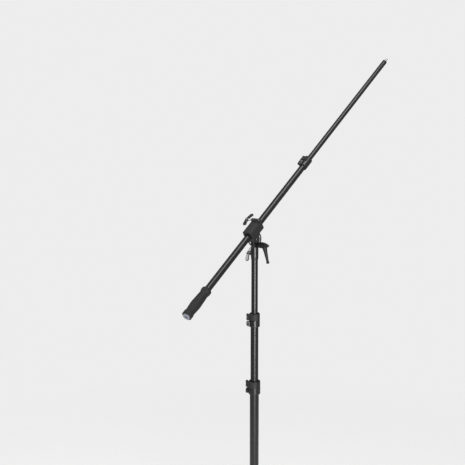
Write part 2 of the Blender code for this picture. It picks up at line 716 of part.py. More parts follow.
# ================================================================ clamp block
def lug_frame():
    """Frame of the block's clamp screw: Z sideways to the wing knob, X to the boom's tip."""
    along = BLOCK_FRONT - LUG_FROM_FRONT
    origin = BOOM_CENTRE + BOOM_AXIS * along + BOOM_UP * (BLOCK_HALF_HEIGHT + LUG_RISE)
    return frame(origin, SIDE, BOOM_AXIS)


def clamp_block():
    """Casting that grips the boom, with two slotted round cheeks that straddle the tongue."""
    wide, tall = BLOCK_HALF_WIDTH, BLOCK_HALF_HEIGHT
    inner, shoulder = wide - BLOCK_CHAMFER_RUN, tall - BLOCK_CHAMFER_DROP
    outline = [(wide, -shoulder), (wide, shoulder), (inner, tall), (-inner, tall),
               (-wide, shoulder), (-wide, -shoulder), (-inner, -tall), (inner, -tall)]
    place = boom_frame(0.0)
    block = plate("clamp_block", [outline], -BLOCK_REAR, BLOCK_FRONT, place, cast_black())
    lug = rod("block_lug", LUG_RADIUS, -LUG_HALF_LENGTH, LUG_HALF_LENGTH, lug_frame(), steps=20, tool=True)
    fuse(block, lug)
    disc = circle((0, 0), CHEEK_RADIUS, 40)
    slot = curved_slot((0, 0), LOCK_BOLT_DROP, LOCK_BOLT_RADIUS + PIN_GAP, -math.pi / 2 - SLOT_SWEEP,
                       -math.pi / 2 + SLOT_SWEEP)
    hole = circle((0, 0), PIVOT_PIN_RADIUS + PIN_GAP, SMALL_STEPS)
    cheek_place = frame(PIVOT, -SIDE, BOOM_AXIS)
    for label, low, high in (("near", CHEEK_INNER, CHEEK_OUTER), ("far", -CHEEK_OUTER, -CHEEK_INNER)):
        fuse(block, plate("block_cheek_" + label, [disc, slot, hole], low, high, cheek_place, tool=True))
    pocket = rod("block_pocket", TONGUE_HALF_WIDTH + POCKET_CLEARANCE, -CHEEK_INNER, CHEEK_INNER,
                 cheek_place, steps=32, tool=True)
    groove_top = BOOM_OFFSET - BLOCK_HALF_HEIGHT + 0.0016
    groove = box("block_groove", (-BLOCK_REAR - 0.01, -CHEEK_RADIUS * 1.2, -CHEEK_INNER),
                 (BLOCK_FRONT + 0.01, groove_top, CHEEK_INNER), cheek_place, tool=True)
    bore = rod("block_bore", sleeve_radius() + GAP, -BLOCK_REAR - 0.02, BLOCK_FRONT + 0.02, place,
               steps=COLLAR_STEPS, tool=True)
    split = box("block_split", (-BLOCK_SPLIT / 2, BOOM_TUBE_RADIUS, BLOCK_FRONT - BLOCK_SPLIT_LENGTH),
                (BLOCK_SPLIT / 2, tall + LUG_RADIUS * 2, BLOCK_FRONT + 0.01), place, tool=True)
    screw_hole = rod("block_screw_hole", SCREW_RADIUS + PIN_GAP, -0.05, 0.05, lug_frame(), tool=True)
    seats = [rod("block_seat_" + label, LUG_RADIUS + 0.0004, low, low + 0.02, lug_frame(), tool=True)
             for label, low in (("left", LUG_HALF_LENGTH + 0.0001), ("right", -LUG_HALF_LENGTH - 0.0201))]
    carve(block, pocket, groove, bore, split, screw_hole, *seats)
    return block


def sleeve_radius():
    """Outside of the plastic sleeve in the block's bore."""
    return BOOM_TUBE_RADIUS + GAP + SLEEVE_WALL


def block_sleeve():
    """Plastic sleeve that lines the bore, with a rim at each end of the block."""
    bore = BOOM_TUBE_RADIUS + GAP
    outside = sleeve_radius()
    rim = outside + 0.0014
    front, rear = BLOCK_FRONT + GAP, -BLOCK_REAR - GAP
    profile = [(rim, front + SLEEVE_FLANGE), (rim, front), (outside, front), (outside, rear), (rim, rear),
               (rim, rear - SLEEVE_FLANGE), (bore, rear - SLEEVE_FLANGE), (bore, front + SLEEVE_FLANGE)]
    return turned("block_sleeve", profile, boom_frame(0.0), black_plastic(), ring=True)


# ================================================================ boom
def boom_outer_tube():
    profile = tube_profile(BOOM_TUBE_RADIUS, BOOM_INNER_RADIUS + BOOM_SLIDE_GAP, -BOOM_REAR,
                           BOOM_CLAMP_POSITION - CLAMP_SLIT / 2)
    return turned("boom_outer_tube", profile, boom_frame(0.0), black_paint(), ring=True)


def boom_inner_tube():
    tip = boom_tip()
    rear = BOOM_CLAMP_POSITION - BOOM_INNER_HIDDEN
    profile = tube_profile(BOOM_INNER_RADIUS, BOOM_INNER_RADIUS - BOOM_INNER_WALL, rear, tip)
    return turned("boom_inner_tube", profile, boom_frame(0.0), black_paint(), ring=True)


def boom_tip():
    """End of the inner boom tube along the boom."""
    return BOOM_CLAMP_POSITION + CLAMP_UPPER + BOOM_INNER_EXPOSED


def boom_grip():
    """Rubber grip: a flange at each end and a long swell between two waists."""
    bore = BOOM_TUBE_RADIUS + GAP
    seat = CAP_RADIUS + GAP
    rear = -BOOM_REAR - GRIP_LIP
    length = GRIP_LENGTH
    flange, waist, swell = GRIP_FLANGE_RADIUS, GRIP_WAIST_RADIUS, GRIP_SWELL_RADIUS
    edge = 0.0012
    outer = [(flange - edge, 1.0), (flange, 0.99), (flange, 0.905), (waist, 0.865), (waist, 0.80),
             (swell - 0.0012, 0.60), (swell, 0.46), (swell - 0.0008, 0.33), (waist + 0.0004, 0.205),
             (waist, 0.165), (flange, 0.115), (flange, 0.01), (flange - edge, 0.0)]
    profile = [(radius, rear + length * share) for radius, share in outer]
    profile += [(seat, rear), (seat, -BOOM_REAR + GAP), (bore, -BOOM_REAR + GAP), (bore, rear + length)]
    return turned("boom_grip", profile, boom_frame(0.0), rubber(), ring=True)


def boom_cap():
    """Round end cap with a recess, plugged into the tube's rear end."""
    face = -BOOM_REAR - CAP_HEIGHT
    seat = -BOOM_REAR - GAP
    plug = BOOM_INNER_RADIUS + BOOM_SLIDE_GAP - GAP
    edge = 0.0010
    profile = [(0, seat + CAP_PLUG_LENGTH), (plug, seat + CAP_PLUG_LENGTH), (plug, seat), (CAP_RADIUS, seat),
               (CAP_RADIUS, face + edge), (CAP_RADIUS - edge, face), (CAP_RECESS_RADIUS, face),
               (CAP_RECESS_RADIUS, face + CAP_RECESS_DEPTH), (0, face + CAP_RECESS_DEPTH)]
    return turned("boom_cap", profile, boom_frame(0.0), grey_cap())


def tip_adapter():
    """Plastic plug in the boom's tip with a flange and a bore for the stud."""
    tip = boom_tip()
    plug = BOOM_INNER_RADIUS - BOOM_INNER_WALL - GAP
    stud = STUD_RADIUS + GAP
    front = tip + GAP + ADAPTER_FLANGE
    profile = [(BOOM_INNER_RADIUS - 0.001, front), (BOOM_INNER_RADIUS, front - 0.001),
               (BOOM_INNER_RADIUS, tip + GAP), (plug, tip + GAP), (plug, tip - ADAPTER_PLUG),
               (stud, tip - ADAPTER_PLUG), (stud, front)]
    return turned("tip_adapter", profile, boom_frame(0.0), black_plastic(), 24, ring=True)


def thread_stud():
    """Steel stud for the microphone holder."""
    front = boom_tip() + GAP + ADAPTER_FLANGE
    tip = front + STUD_LENGTH
    profile = [(0, tip), (STUD_RADIUS - 0.0008, tip), (STUD_RADIUS, tip - 0.0008),
               (STUD_RADIUS, front - ADAPTER_PLUG), (0, front - ADAPTER_PLUG)]
    return turned("thread_stud", profile, boom_frame(0.0), bright_steel(), 18)


# ================================================================ tripod
def radial(angle):
    return Vector((math.cos(angle), math.sin(angle), 0.0))


def tangent(angle):
    return Vector((-math.sin(angle), math.cos(angle), 0.0))


def leg_direction(angle):
    """Unit vector down a leg."""
    return radial(angle) * math.sin(LEG_ANGLE) - Vector((0, 0, math.cos(LEG_ANGLE)))


def leg_hinge(angle):
    return radial(angle) * HINGE_RADIUS + Vector((0, 0, CROWN_HEIGHT))


def strut_hinge(angle):
    """Hinge between a leg's bracket and its strut."""
    return (leg_hinge(angle) + radial(angle) * STRUT_LENGTH * math.sin(STRUT_ANGLE)
            - Vector((0, 0, STRUT_LENGTH * math.cos(STRUT_ANGLE))))


def leg_frame(angle):
    """Frame at a leg's hinge: Z up the leg, X towards the column and down, Y along the hinge."""
    down = leg_direction(angle)
    inward = down.cross(tangent(angle))
    if inward.z > 0:
        inward = -inward
    return frame(leg_hinge(angle), -down, inward)


def forked_collar(name, height, half_gap, pin_radius, eye_radius):
    """Collar round the column with three pairs of cheeks."""
    bore = LOWER_TUBE_RADIUS + GAP
    half = COLLAR_HEIGHT / 2
    edge = 0.0015
    profile = [(COLLAR_RADIUS - edge, half), (COLLAR_RADIUS, half - edge), (COLLAR_RADIUS, edge - half),
               (COLLAR_RADIUS - edge, -half), (bore, -half), (bore, half)]
    collar = turned(name, profile, upright(height), cast_black(), COLLAR_STEPS, ring=True)
    root = COLLAR_RADIUS - 0.0045
    outline = (arc((HINGE_RADIUS, 0), eye_radius, -math.pi / 2, math.pi / 2, 10)
               + [(root, eye_radius * 1.15), (root, -eye_radius * 1.15)])
    hole = circle((HINGE_RADIUS, 0), pin_radius + PIN_GAP, 12)
    for degrees in LEG_ANGLES:
        angle = math.radians(degrees)
        place = frame((0, 0, height), -tangent(angle), radial(angle))
        for label, low in (("left", half_gap), ("right", -half_gap - CHEEK_PLATE)):
            tool_name = "%s_cheek_%d_%s" % (name, degrees, label)
            fuse(collar, plate(tool_name, [outline, hole], low, low + CHEEK_PLATE, place, tool=True))
    return collar


def crown():
    """Sliding collar that carries the legs, with a boss for its knob."""
    collar = forked_collar("crown_collar", CROWN_HEIGHT, KNUCKLE_THICKNESS / 2 + FORK_GAP,
                           HINGE_PIN_RADIUS, KNUCKLE_RADIUS)
    place = crown_knob_frame()
    reach = COLLAR_RADIUS + CROWN_BOSS_LENGTH
    boss = rod("crown_boss", CROWN_BOSS_RADIUS, COLLAR_RADIUS - 0.0035, reach, place, steps=18, tool=True)
    hole = rod("crown_screw_hole", HINGE_PIN_RADIUS + PIN_GAP, 0.010, reach + 0.01, place, tool=True)
    fuse(collar, boss)
    carve(collar, hole)
    return collar


def crown_knob_frame():
    angle = math.radians(CROWN_KNOB_ANGLE)
    return frame((0, 0, CROWN_HEIGHT), radial(angle), (0, 0, 1))


def crown_knob():
    """Star knob with its screw, which locks the crown on the tube."""
    base = COLLAR_RADIUS + CROWN_BOSS_LENGTH + 0.0010
    count = CROWN_KNOB_LOBES * 8
    outline = []
    for i in range(count):
        turn = 2 * math.pi * i / count
        radius = CROWN_KNOB_RADIUS * (0.90 + 0.10 * math.cos(CROWN_KNOB_LOBES * turn))
        outline.append((radius * math.cos(turn), radius * math.sin(turn)))
    knob = plate("crown_knob", [outline], base, base + CROWN_KNOB_HEIGHT, crown_knob_frame(),
                 black_plastic())
    screw = rod("crown_knob_screw", HINGE_PIN_RADIUS, LOWER_TUBE_RADIUS + GAP, base + 0.004,
                crown_knob_frame(), tool=True)
    fuse(knob, screw)
    return knob


def base_collar():
    """Collar fixed at the column's foot that carries the struts."""
    return forked_collar("base_collar", STRUT_FOOT_HEIGHT, STRUT_THICKNESS / 2 + FORK_GAP, RIVET_RADIUS,
                         STRUT_HALF_WIDTH + 0.0005)


def headed_pin(name, radius, half_length, matrix):
    """Rivet with a low head at each end."""
    head = radius + 0.0018
    out = half_length + GAP
    profile = [(0, out + 0.0014), (head - 0.0008, out + 0.0014), (head, out + 0.0006), (head, out),
               (radius, out), (radius, -out), (head, -out), (head, -out - 0.0006),
               (head - 0.0008, -out - 0.0014), (0, -out - 0.0014)]
    return turned(name, profile, matrix, bright_steel(), SMALL_STEPS)


def leg_knuckle(number, angle):
    """Eye at a leg's top with a shank inside the leg tube."""
    place = leg_frame(angle)
    across = place @ frame((0, 0, 0), (0, 1, 0), (1, 0, 0))
    half = KNUCKLE_THICKNESS / 2
    hole = circle((0, 0), HINGE_PIN_RADIUS + PIN_GAP, 12)
    neck = 0.0140
    side = KNUCKLE_RADIUS * 0.72
    turn = math.asin(0.72)
    # In this frame the leg runs along +Y, so the neck leaves the eye that way.
    outline = arc((0, 0), KNUCKLE_RADIUS, math.pi - (math.pi / 2 - turn), 2 * math.pi + (math.pi / 2 - turn), 16)
    outline += [(side, neck), (-side, neck)]
    knuckle = plate("leg_knuckle_%d" % number, [outline, hole], -half, half, across, cast_black())
    shank = rod("leg_shank_%d" % number, LEG_TUBE_RADIUS - LEG_TUBE_WALL - GAP, -KNUCKLE_SHANK, -0.0100, place,
                steps=18, tool=True)
    fuse(knuckle, shank)
    return knuckle


def leg_tube(number, angle):
    profile = tube_profile(LEG_TUBE_RADIUS, LEG_TUBE_RADIUS - LEG_TUBE_WALL,
                           LEG_TUBE_STOP - LEG_LENGTH, -LEG_TUBE_START)
    return turned("leg_tube_%d" % number, profile, leg_frame(angle), black_paint(), 20, ring=True)


def leg_bracket(number, angle):
    """Band round a leg tube with two ears that hold the strut."""
    place = leg_frame(angle)
    bore = LEG_TUBE_RADIUS + GAP
    outside = bore + BRACKET_WALL
    half = BRACKET_LENGTH / 2
    profile = [(outside, half - LEG_ALONG), (outside, -half - LEG_ALONG), (bore, -half - LEG_ALONG),
               (bore, half - LEG_ALONG)]
    bracket = turned("leg_bracket_%d" % number, profile, place, cast_black(), 20, ring=True)
    eye = STRUT_HALF_WIDTH + 0.0005
    root = bore + BRACKET_WALL * 0.4
    outline = (arc((LEG_OFFSET, 0), eye, -math.pi / 2, math.pi / 2, 10)
               + [(root, half * 0.9), (root, -half * 0.9)])
    hole = circle((LEG_OFFSET, 0), RIVET_RADIUS + PIN_GAP, 12)
    across = place @ frame((0, 0, -LEG_ALONG), (0, -1, 0), (1, 0, 0))
    gap = STRUT_THICKNESS / 2 + FORK_GAP
    for label, low in (("left", gap), ("right", -gap - BRACKET_PLATE)):
        fuse(bracket, plate("bracket_ear_%d_%s" % (number, label), [outline, hole], low, low + BRACKET_PLATE,
                            across, tool=True))
    return bracket


def leg_boot(number, angle):
    """Rubber boot on a leg's end, cut level with the floor."""
    place = leg_frame(angle)
    bore = LEG_TUBE_RADIUS + GAP
    top = BOOT_LENGTH - LEG_LENGTH
    stop = LEG_TUBE_STOP - LEG_LENGTH - GAP
    under = -LEG_LENGTH - BOOT_RADIUS * 2
    profile = [(0, stop), (bore, stop), (bore, top), (BOOT_RADIUS - 0.0008, top),
               (BOOT_RADIUS, top - 0.0015), (BOOT_RADIUS, under), (0, under)]
    boot = turned("leg_boot_%d" % number, profile, place, rubber(), 24)
    foot = radial(angle) * (HINGE_RADIUS + LEG_LENGTH * math.sin(LEG_ANGLE))
    floor = box("floor_cut_%d" % number, (-0.1, -0.1, -0.1), (0.1, 0.1, 0.0), Matrix.Translation(foot),
                tool=True)
    carve(boot, floor)
    return boot


def strut(number, angle):
    """Flat strut from a leg's bracket down to the base collar."""
    upper = strut_hinge(angle)
    lower = radial(angle) * HINGE_RADIUS + Vector((0, 0, STRUT_FOOT_HEIGHT))
    along = (lower - upper).normalized()
    place = frame(upper, tangent(angle), along)
    wide = STRUT_HALF_WIDTH
    narrow = STRUT_HALF_WIDTH * 0.72
    outline = arc((0, 0), wide, math.radians(50), math.radians(310), 12)
    outline += [(wide * 2.2, -narrow), (STRUT_LENGTH - wide * 2.2, -narrow)]
    outline += arc((STRUT_LENGTH, 0), wide, math.radians(-130), math.radians(130), 12)
    outline += [(STRUT_LENGTH - wide * 2.2, narrow), (wide * 2.2, narrow)]
    holes = [circle((0, 0), RIVET_RADIUS + PIN_GAP, 12), circle((STRUT_LENGTH, 0), RIVET_RADIUS + PIN_GAP, 12)]
    half = STRUT_THICKNESS / 2
    return plate("strut_%d" % number, [outline] + holes, -half, half, place, black_paint())


# ================================================================ assembly
def build_base():
    """Fixed body: lower tube, foot, strut collar and the lower clamp."""
    root = joint_empty("base", (0, 0, 0))
    attach(root, lower_tube(), column_foot(), base_collar())
    place = upright(LOWER_CLAMP_Z, LOWER_CLAMP_TURN)
    fixed, lever = tube_clamp("lower", place, MIDDLE_TUBE_RADIUS, LOWER_TUBE_RADIUS, COLUMN_CLAMP_WALL)
    attach(root, *fixed)
    hinge = lever_axis_point(place, LOWER_TUBE_RADIUS, COLUMN_CLAMP_WALL)
    attach(joint_empty("lower_lever_hinge", hinge, root), lever)
    return root


def build_tripod(root):
    """Crown with its knob, and three legs with their struts."""
    slide = joint_empty("crown_slide", (0, 0, CROWN_HEIGHT), root)
    attach(slide, crown())
    attach(joint_empty("crown_knob_axis", (0, 0, CROWN_HEIGHT), slide), crown_knob())
    for number, degrees in enumerate(LEG_ANGLES, start=1):
        angle = math.radians(degrees)
        hinge_axis = frame(leg_hinge(angle), tangent(angle), (0, 0, 1))
        half = KNUCKLE_THICKNESS / 2 + FORK_GAP + CHEEK_PLATE
        attach(slide, headed_pin("leg_pin_%d" % number, HINGE_PIN_RADIUS, half, hinge_axis))
        leg = joint_empty("leg_hinge_%d" % number, leg_hinge(angle), slide)
        rivet_axis = frame(strut_hinge(angle), tangent(angle), (0, 0, 1))
        half = STRUT_THICKNESS / 2 + FORK_GAP + BRACKET_PLATE
        attach(leg, leg_knuckle(number, angle), leg_tube(number, angle), leg_bracket(number, angle),
               leg_boot(number, angle), headed_pin("strut_rivet_%d" % number, RIVET_RADIUS, half, rivet_axis))
        attach(joint_empty("strut_hinge_%d" % number, strut_hinge(angle), leg), strut(number, angle))


def build_column(root):
    """Middle and top stages with the upper clamp; returns the top stage's empty."""
    middle = joint_empty("middle_slide", (0, 0, UPPER_CLAMP_Z), root)
    attach(middle, middle_tube())
    place = upright(UPPER_CLAMP_Z, UPPER_CLAMP_TURN)
    fixed, lever = tube_clamp("upper", place, TOP_TUBE_RADIUS, MIDDLE_TUBE_RADIUS, COLUMN_CLAMP_WALL)
    attach(middle, *fixed)
    hinge = lever_axis_point(place, MIDDLE_TUBE_RADIUS, COLUMN_CLAMP_WALL)
    attach(joint_empty("upper_lever_hinge", hinge, middle), lever)
    top = joint_empty("top_slide", (0, 0, SOCKET_BOTTOM), middle)
    attach(top, top_tube())
    return top


def build_head(top):
    """Head with its pins, screws, wing knob and locking lever; returns the head's empty."""
    head = joint_empty("head_turn", (0, 0, SOCKET_BOTTOM), top)
    screw_place = frame((0, 0, socket_screw_z()), SIDE, (-math.sin(SOCKET_WING_TURN), 0,
                                                         -math.cos(SOCKET_WING_TURN)))
    seat = SOCKET_RADIUS + SOCKET_BOSS + SOCKET_SCREW_EXPOSED
    screw = knob_screw("socket_screw", screw_place, TOP_TUBE_RADIUS + GAP, seat)
    attach(head, head_casting(), pivot_pin(), lock_bolt(), screw)
    knob = wing_knob("socket_wing", screw_place @ Matrix.Translation((0, 0, seat)))
    attach(joint_empty("socket_wing_axis", screw_place @ Vector((0, 0, seat)), head), knob)
    bolt_point = PIVOT - Vector((0, 0, LOCK_BOLT_DROP))
    attach(joint_empty("lock_lever_axis", bolt_point, head), lock_lever())
    return head


def build_boom(head):
    """Clamp block on the tilt axis, and the two boom tubes that run through it."""
    tilt = joint_empty("boom_tilt", PIVOT, head)
    place = lug_frame()
    seat = LUG_HALF_LENGTH + BLOCK_SCREW_EXPOSED
    screw = knob_screw("block_screw", place, -LUG_HALF_LENGTH - GAP, seat, head=0.0040)
    attach(tilt, clamp_block(), screw)
    knob = wing_knob("block_wing", place @ Matrix.Translation((0, 0, seat)))
    attach(joint_empty("block_wing_axis", place.translation, tilt), knob)
    roll = joint_empty("boom_roll", BOOM_CENTRE, tilt)
    attach(roll, block_sleeve())
    outer = joint_empty("boom_slide", BOOM_CENTRE, roll)
    clamp_place = boom_frame(BOOM_CLAMP_POSITION) @ Matrix.Rotation(BOOM_CLAMP_TURN, 4, "Z")
    fixed, lever = tube_clamp("boom", clamp_place, BOOM_INNER_RADIUS, BOOM_TUBE_RADIUS, BOOM_CLAMP_WALL,
                              BOOM_LEVER_WRAP)
    attach(outer, boom_outer_tube(), boom_grip(), boom_cap(), *fixed)
    hinge = lever_axis_point(clamp_place, BOOM_TUBE_RADIUS, BOOM_CLAMP_WALL)
    attach(joint_empty("boom_lever_hinge", hinge, outer), lever)
    inner = joint_empty("boom_extend", BOOM_CENTRE, outer)
    attach(inner, boom_inner_tube(), tip_adapter(), thread_stud())


def main():
    global PARTS, TOOLS
    clear_scene()
    PARTS = new_collection("boom_microphone_stand")
    TOOLS = new_collection("cutters")
    root = build_base()
    build_tripod(root)
    top = build_column(root)
    head = build_head(top)
    build_boom(head)


main()
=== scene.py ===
"""Looks, light and camera of a boom microphone stand: tripod, telescopic column, clamp head and boom."""

from __future__ import annotations

import json
import logging
import math
from dataclasses import dataclass
from enum import Enum

import bmesh
import bpy
from mathutils import Matrix, Vector


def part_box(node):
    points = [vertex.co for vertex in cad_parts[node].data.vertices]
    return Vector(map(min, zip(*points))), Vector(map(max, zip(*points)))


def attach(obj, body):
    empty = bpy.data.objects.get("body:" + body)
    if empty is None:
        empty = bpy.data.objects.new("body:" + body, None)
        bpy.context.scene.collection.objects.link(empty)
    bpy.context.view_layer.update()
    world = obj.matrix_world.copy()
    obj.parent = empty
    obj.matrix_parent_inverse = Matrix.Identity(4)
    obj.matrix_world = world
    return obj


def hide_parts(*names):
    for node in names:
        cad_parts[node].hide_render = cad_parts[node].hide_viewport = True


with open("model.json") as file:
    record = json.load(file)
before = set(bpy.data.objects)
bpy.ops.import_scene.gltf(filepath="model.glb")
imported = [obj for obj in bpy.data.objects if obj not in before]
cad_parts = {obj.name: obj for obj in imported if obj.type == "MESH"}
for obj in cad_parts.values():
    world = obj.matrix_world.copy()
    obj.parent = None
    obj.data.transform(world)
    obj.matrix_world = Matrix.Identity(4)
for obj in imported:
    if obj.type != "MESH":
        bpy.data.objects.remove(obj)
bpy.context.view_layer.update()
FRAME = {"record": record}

LOG = logging.getLogger("boom_stand")

Point = tuple[float, float]
Outline = list[Point]

ORIGIN = Vector((0.0, 0.0, 0.0))
RIGHT = Vector((1.0, 0.0, 0.0))
SIDE = Vector((0.0, 1.0, 0.0))
UP = Vector((0.0, 0.0, 1.0))

# Clearance between pieces that fit into each other, in metres.
GAP = 0.0003
# Height of a clamp's slit above the end of the tube that it grips.
SLIT_ABOVE_TUBE = 0.0009
# Half length of a bar that cuts right through a piece.
THROUGH = 0.02
# Faces round a turned piece, unless it states its own.
LATHE_STEPS = 96
# Walls of the clamps' collars, and how far round the boom its clamp's lever reaches.
COLUMN_CLAMP_WALL = 0.0053
BOOM_CLAMP_WALL = 0.0036
BOOM_LEVER_WRAP = math.radians(80.0)


# ---------------------------------------------------------------- frames and joints
def axes(origin: Vector, z_axis: Vector, x_axis: Vector) -> Matrix:
    """Build a right-handed frame.

    Args:
        origin: The frame's origin in metres.
        z_axis: The direction of its Z.
        x_axis: A direction that its X lies closest to.

    Returns:
        The frame as a matrix.
    """
    z = z_axis.normalized()
    x = (x_axis - z * z.dot(x_axis)).normalized()
    turn = Matrix((x, z.cross(x), z)).transposed().to_4x4()
    return Matrix.Translation(origin) @ turn


# Frame of a piece that lies across the stand, with its Z towards -Y.
ACROSS = axes(ORIGIN, -SIDE, RIGHT)


def joint(name: str) -> dict:
    """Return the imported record's joint of that name."""
    return next(j for j in FRAME["record"]["behaviour"]["joints"] if j["name"] == name)


def joint_point(name: str) -> Vector:
    """Return the point on a hinge that the record states."""
    return Vector(joint(name)["pos_m"])


class Layout:
    """Places of the main axes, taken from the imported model."""

    pivot: Vector = joint_point("boom_tilt")
    boom_axis: Vector = Vector(joint("boom_slide")["axis"]).normalized()
    boom_up: Vector = Vector((-boom_axis.z, 0.0, boom_axis.x))
    boom_centre: Vector = joint_point("boom_roll")
    lower_slit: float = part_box("lower_tube")[1][2] + SLIT_ABOVE_TUBE
    upper_slit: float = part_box("middle_tube")[1][2] + SLIT_ABOVE_TUBE
    crown_height: float = joint_point("crown_knob_turn").z

    @classmethod
    def boom(cls, along: float) -> Matrix:
        """Frame on the boom: X sideways, Y up from the boom, Z to the tip."""
        return axes(cls.boom_centre + cls.boom_axis * along, cls.boom_axis, SIDE)

    @classmethod
    def column(cls, height: float, turn: float = 0.0) -> Matrix:
        """Frame on the column's axis, turned about it."""
        return axes(Vector((0, 0, height)), UP, Vector((math.cos(turn), math.sin(turn), 0)))


# ---------------------------------------------------------------- shader nodes
def srgb(code: str) -> tuple[float, float, float, float]:
    """Turn an sRGB hex code into a linear colour.

    Args:
        code: Six hex digits.

    Returns:
        Linear red, green, blue and an alpha of one.
    """
    values = []
    for i in (0, 2, 4):
        c = int(code[i:i + 2], 16) / 255.0
        values.append(c / 12.92 if c <= 0.04045 else ((c + 0.055) / 1.055) ** 2.4)
    return (values[0], values[1], values[2], 1.0)


def add_node(tree: bpy.types.NodeTree, kind: str, settings: dict | None = None,
             inputs: dict | None = None) -> bpy.types.Node:
    """Add one node to a tree.

    Args:
        tree: The node tree.
        kind: The node's type name.
        settings: Properties to set on the node.
        inputs: Values or output sockets, by input name or index.

    Returns:
        The new node.
    """
    node = tree.nodes.new(kind)
    for key, value in (settings or {}).items():
        setattr(node, key, value)
    for key, value in (inputs or {}).items():
        if isinstance(value, bpy.types.NodeSocket):
            tree.links.new(value, node.inputs[key])
        else:
            node.inputs[key].default_value = value
    return node


@dataclass(frozen=True)
class Finish:
    """A surface finish with a fine relief and a slow change of tone, and the record's slot for it.

    The relief's size is the real one in millimetres unless the finish's own comment says otherwise.
    """

    name: str
    slot: str
    dark: str
    light: str
    metallic: float
    roughness_low: float
    roughness_high: float
    relief_mm: float
    relief_height_mm: float
    cloud_mm: float
    speckle_mm: float = 0.0
    speckle: str = "000000"
    speckle_share: float = 0.0
    specular: float = 0.5

    def material(self) -> bpy.types.Material:
        """Build the finish's material, once.

        Returns:
            The material.
        """
        found = bpy.data.materials.get(self.name)
        if found is not None:
            return found
        made = bpy.data.materials.new(self.name)
        made.use_nodes = True
        tree = made.node_tree
        shader = tree.nodes["Principled BSDF"]
        place = add_node(tree, "ShaderNodeTexCoord").outputs["Object"]
        cloud = add_node(tree, "ShaderNodeTexNoise", None,
                         {"Vector": place, "Scale": 1000.0 / self.cloud_mm, "Detail": 3.0, "Roughness": 0.5})
        grain = add_node(tree, "ShaderNodeTexNoise", None,
                         {"Vector": place, "Scale": 1000.0 / self.relief_mm, "Detail": 2.0, "Roughness": 0.6})
        tone = add_node(tree, "ShaderNodeMix", {"data_type": "RGBA"},
                        {"Factor": cloud.outputs["Fac"], 6: srgb(self.dark), 7: srgb(self.light)})
        colour = tone.outputs[2]
        if self.speckle_mm:
            cells = add_node(tree, "ShaderNodeTexVoronoi", None,
                             {"Vector": place, "Scale": 1000.0 / self.speckle_mm})
            spot = add_node(tree, "ShaderNodeMapRange", None,
                            {"Value": cells.outputs["Distance"], "From Min": 0.30, "From Max": 0.18,
                             "To Min": 0.0, "To Max": self.speckle_share})
            flecked = add_node(tree, "ShaderNodeMix", {"data_type": "RGBA"},
                               {"Factor": spot.outputs["Result"], 6: colour, 7: srgb(self.speckle)})
            colour = flecked.outputs[2]
        gloss = add_node(tree, "ShaderNodeMapRange", None,
                         {"Value": grain.outputs["Fac"], "From Min": 0.3, "From Max": 0.7,
                          "To Min": self.roughness_low, "To Max": self.roughness_high})
        bump = add_node(tree, "ShaderNodeBump", None,
                        {"Height": grain.outputs["Fac"], "Distance": self.relief_height_mm / 1000.0,
                         "Strength": 1.0})
        tree.links.new(colour, shader.inputs["Base Color"])
        tree.links.new(gloss.outputs["Result"], shader.inputs["Roughness"])
        tree.links.new(bump.outputs["Normal"], shader.inputs["Normal"])
        shader.inputs["Metallic"].default_value = self.metallic
        shader.inputs["Specular IOR Level"].default_value = self.specular
        return made


